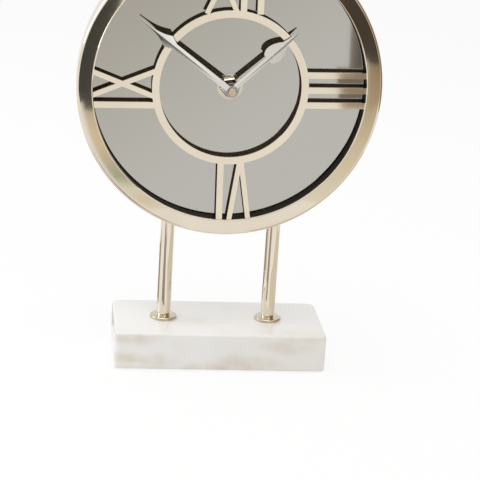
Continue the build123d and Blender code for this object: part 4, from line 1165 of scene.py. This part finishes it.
@dataclass
class Studio:
    """Pale floor, white surroundings, soft lamps and the photo's camera. Sizes are in metres."""

    camera_place: Place = (-0.12792, -1.15340, 0.46712)
    yaw: float = 0.1225
    pitch: float = 0.3171
    roll: float = 0.0637
    lens: float = 131.25
    sensor: float = 36.0
    clip_near: float = 0.05
    clip_far: float = 40.0
    floor_half: float = 8.0
    floor_colour: Colour = (0.90, 0.90, 0.89)
    floor_shade: float = 0.995
    floor_grain: float = 40.0
    floor_roughness: float = 0.9
    floor_glow: float = 0.84
    ambient: Colour = (0.60, 0.60, 0.60)
    lamps: tuple[Lamp, ...] = (
        Lamp("lamp_over", (-0.3, -0.2, 1.9), (0.0, 0.0, 0.1), 1.4, 18.0),
        Lamp("lamp_front", (0.7, -1.7, 1.2), (0.0, 0.0, 0.1), 1.0, 2.5),
        Lamp("lamp_left", (-1.5, 0.2, 0.7), (0.0, 0.0, 0.05), 0.8, 5.0),
    )
    flags: tuple[Flag, ...] = (
        Flag(
            "flag_left",
            (
                (-0.420, CARD_FRONT, 0.0),
                (-0.420, CARD_FRONT, 0.24),
                (-0.162, CARD_FRONT, 0.0),
                (-0.115, CARD_FRONT, 0.24),
            ),
            (FLAG_DARK,) * 4,
        ),
        upright_flag("card_minute_hand", -0.02, 0.062, 0.250, 0.320, (1.22, 1.22, 1.22)),
        upright_flag("card_hour_hand", 0.064, 0.14, 0.222, 0.320, (0.80, 0.79, 0.77)),
        Flag(
            "flag_right_bars",
            (
                (0.196, CARD_FRONT, 0.019),
                (0.189, CARD_FRONT, 0.062),
                (0.260, CARD_FRONT, 0.019),
                (0.260, CARD_FRONT, 0.062),
            ),
            (BAR_BROWN,) * 4,
        ),
        Flag(
            "flag_right_edge",
            (
                (0.203, CARD_FRONT, 0.062),
                (0.198, CARD_FRONT, 0.24),
                (0.212, CARD_FRONT, 0.062),
                (0.210, CARD_FRONT, 0.24),
                (0.260, CARD_FRONT, 0.062),
                (0.260, CARD_FRONT, 0.24),
            ),
            ((0.42, 0.38, 0.34),) * 2 + ((0.22, 0.20, 0.17),) * 2 + ((0.12, 0.10, 0.08),) * 2,
        ),
        upright_flag("flag_right", 0.260, 0.322, 0.096, 0.24, (0.075, 0.060, 0.050)),
        upright_flag("flag_right_far", 0.322, 0.52, 0.088, 0.276, (0.078, 0.066, 0.056)),
        Flag(
            "flag_right_low",
            (
                (0.324, CARD_FRONT, 0.0),
                (0.324, CARD_FRONT, 0.088),
                (0.520, CARD_FRONT, 0.0),
                (0.520, CARD_FRONT, 0.088),
            ),
            ((0.54, 0.43, 0.30), (0.35, 0.28, 0.19)) * 2,
        ),
        Flag(
            "flag_right_side",
            ((0.62, -0.62, 0.0), (0.62, -0.62, 0.6), (0.62, 0.50, 0.0), (0.62, 0.50, 0.6)),
            ((0.34, 0.26, 0.15),) * 4,
        ),
        floor_sweep(
            "sweep_left",
            (
                (-0.1775, -0.680, FLAG_DARK),
                (-0.1720, -0.640, FLAG_DARK),
                (-0.1710, -0.633, (0.66, 0.58, 0.46)),
                (-0.162, -0.592, (0.68, 0.60, 0.47)),
                (-0.144, -0.506, (0.76, 0.65, 0.51)),
                (-0.126, -0.437, (0.76, 0.66, 0.52)),
                (-0.109, -0.381, (0.60, 0.58, 0.47)),
                (-0.092, -0.335, (0.46, 0.50, 0.41)),
                (-0.076, -0.299, (0.90, 0.89, 0.83)),
                (-0.059, -0.270, (0.84, 0.77, 0.65)),
                (-0.042, -0.248, (0.92, 0.88, 0.80)),
            ),
            0.014,
        ),
        floor_sweep(
            "sweep_right",
            (
                (0.126, -0.273, (0.92, 0.88, 0.80)),
                (0.150, -0.302, (0.87, 0.84, 0.77)),
                (0.175, -0.339, (0.86, 0.81, 0.70)),
                (0.202, -0.386, (0.83, 0.76, 0.63)),
                (0.233, -0.443, (0.79, 0.71, 0.60)),
                (0.266, -0.513, (0.72, 0.64, 0.50)),
                (0.304, -0.601, (0.63, 0.56, 0.43)),
                (0.347, -0.679, (0.58, 0.50, 0.38)),
            ),
            0.030,
        ),
        Flag(
            "line_left_post",
            (
                (-0.112, -0.075, CARD_LIFT),
                (-0.083, -0.108, CARD_LIFT),
                (-0.260, -0.235, CARD_LIFT),
                (-0.155, -0.290, CARD_LIFT),
            ),
            (LINE_BROWN,) * 4,
        ),
        Flag(
            "line_right_post",
            (
                (-0.060, -0.072, CARD_LIFT),
                (-0.024, -0.104, CARD_LIFT),
                (-0.190, -0.215, CARD_LIFT),
                (-0.092, -0.285, CARD_LIFT),
            ),
            (LINE_BROWN,) * 4,
        ),
        Flag(
            "side_right",
            (
                (0.045, -0.185, CARD_LIFT),
                (0.045, 0.070, CARD_LIFT),
                (0.330, -0.185, CARD_LIFT),
                (0.330, 0.170, CARD_LIFT),
            ),
            (SIDE_BEIGE,) * 4,
        ),
        Flag(
            "rear_left",
            (
                (0.030, 0.080, CARD_LIFT),
                (-0.150, 0.030, CARD_LIFT),
                (0.030, 0.340, CARD_LIFT),
                (-0.340, 0.095, CARD_LIFT),
            ),
            (LINE_BROWN,) * 4,
        ),
    )

    def build(self) -> None:
        """Sets up the whole studio."""
        self.lay_floor()
        self.light_world()
        for lamp in self.lamps:
            lamp.hang()
        for flag in self.flags:
            flag.put_up()
        self.aim_camera()
        bpy.context.scene.view_settings.view_transform = "Standard"

    def seen_share(self, tree: bpy.types.NodeTree, share: float) -> bpy.types.NodeSocket:
        """Share of plain white for the camera's rays and for what polished pieces show.

        Args:
            tree: Node tree that gets the nodes.
            share: Greatest share.

        Returns:
            The value socket.
        """
        path = tree.nodes.new("ShaderNodeLightPath")
        seen = path.outputs["Is Camera Ray"]
        for name in ("Is Glossy Ray", "Is Transmission Ray"):
            either = tree.nodes.new("ShaderNodeMath")
            either.operation = "MAXIMUM"
            tree.links.new(seen, either.inputs[0])
            tree.links.new(path.outputs[name], either.inputs[1])
            seen = either.outputs["Value"]
        scaled = tree.nodes.new("ShaderNodeMath")
        scaled.operation = "MULTIPLY"
        tree.links.new(seen, scaled.inputs[0])
        scaled.inputs[1].default_value = share
        return scaled.outputs["Value"]

    def lay_floor(self) -> None:
        """Adds the pale floor, which keeps the clock's shadow."""
        sheet = NodeSheet("studio_floor")
        fine = sheet.noise(sheet.place(), self.floor_grain)
        shaded = tuple(part * self.floor_shade for part in self.floor_colour)
        sheet.shade(
            Base_Color=sheet.blend(fine, self.floor_colour, shaded),
            Roughness=self.floor_roughness,
            Specular_IOR_Level=0.0,
        )
        glow = sheet.put("Emission", Color=(1.0, 1.0, 1.0), Strength=1.0)
        mix = sheet.put("MixShader")
        sheet.join(self.seen_share(sheet.tree, self.floor_glow), mix.inputs[0])
        sheet.join(sheet.surface.outputs["BSDF"], mix.inputs[1])
        sheet.join(glow.outputs["Emission"], mix.inputs[2])
        sheet.join(mix.outputs["Shader"], sheet.output.inputs["Surface"])
        shape = bmesh.new()
        bmesh.ops.create_grid(shape, x_segments=1, y_segments=1, size=self.floor_half)
        mesh = bpy.data.meshes.new("studio_floor")
        shape.to_mesh(mesh)
        shape.free()
        mesh.materials.append(sheet.material)
        floor = bpy.data.objects.new("studio_floor", mesh)
        bpy.context.scene.collection.objects.link(floor)

    def light_world(self) -> None:
        """Makes the surroundings white to look at and softly lit."""
        world = bpy.data.worlds.new("studio")
        world.use_nodes = True
        tree = world.node_tree
        tree.nodes.clear()
        soft = tree.nodes.new("ShaderNodeBackground")
        soft.inputs["Color"].default_value = (*self.ambient, 1.0)
        white = tree.nodes.new("ShaderNodeBackground")
        mix = tree.nodes.new("ShaderNodeMixShader")
        white.inputs["Color"].default_value = (1.0, 1.0, 1.0, 1.0)
        output = tree.nodes.new("ShaderNodeOutputWorld")
        tree.links.new(self.seen_share(tree, 1.0), mix.inputs[0])
        tree.links.new(soft.outputs["Background"], mix.inputs[1])
        tree.links.new(white.outputs["Background"], mix.inputs[2])
        tree.links.new(mix.outputs["Shader"], output.inputs["Surface"])
        bpy.context.scene.world = world

    def aim_camera(self) -> None:
        """Puts the camera where the photograph was taken from."""
        forward = Vector(
            (
                math.sin(self.yaw) * math.cos(self.pitch),
                math.cos(self.yaw) * math.cos(self.pitch),
                -math.sin(self.pitch),
            )
        )
        level = Vector((math.cos(self.yaw), -math.sin(self.yaw), 0))
        upright = level.cross(forward)
        right = level * math.cos(self.roll) + upright * math.sin(self.roll)
        up = upright * math.cos(self.roll) - level * math.sin(self.roll)
        data = bpy.data.cameras.new("photo_camera")
        data.lens = self.lens
        data.sensor_width = self.sensor
        data.clip_start = self.clip_near
        data.clip_end = self.clip_far
        camera = bpy.data.objects.new("photo_camera", data)
        turn = Matrix((right, up, -forward)).transposed().to_4x4()
        camera.matrix_world = Matrix.Translation(Vector(self.camera_place)) @ turn
        bpy.context.scene.collection.objects.link(camera)
        bpy.context.scene.camera = camera


def main() -> None:
    """Builds the clock's pieces in order, then the studio around them."""
    logging.basicConfig(level=logging.INFO, format="%(message)s")
    for part in (CaseRing(), Posts(), NumeralPlate(), Hands(), DryCell()):
        part.build()
    CarriedNodes().dress()
    Studio().build()


if __name__ == "__main__":
    main()
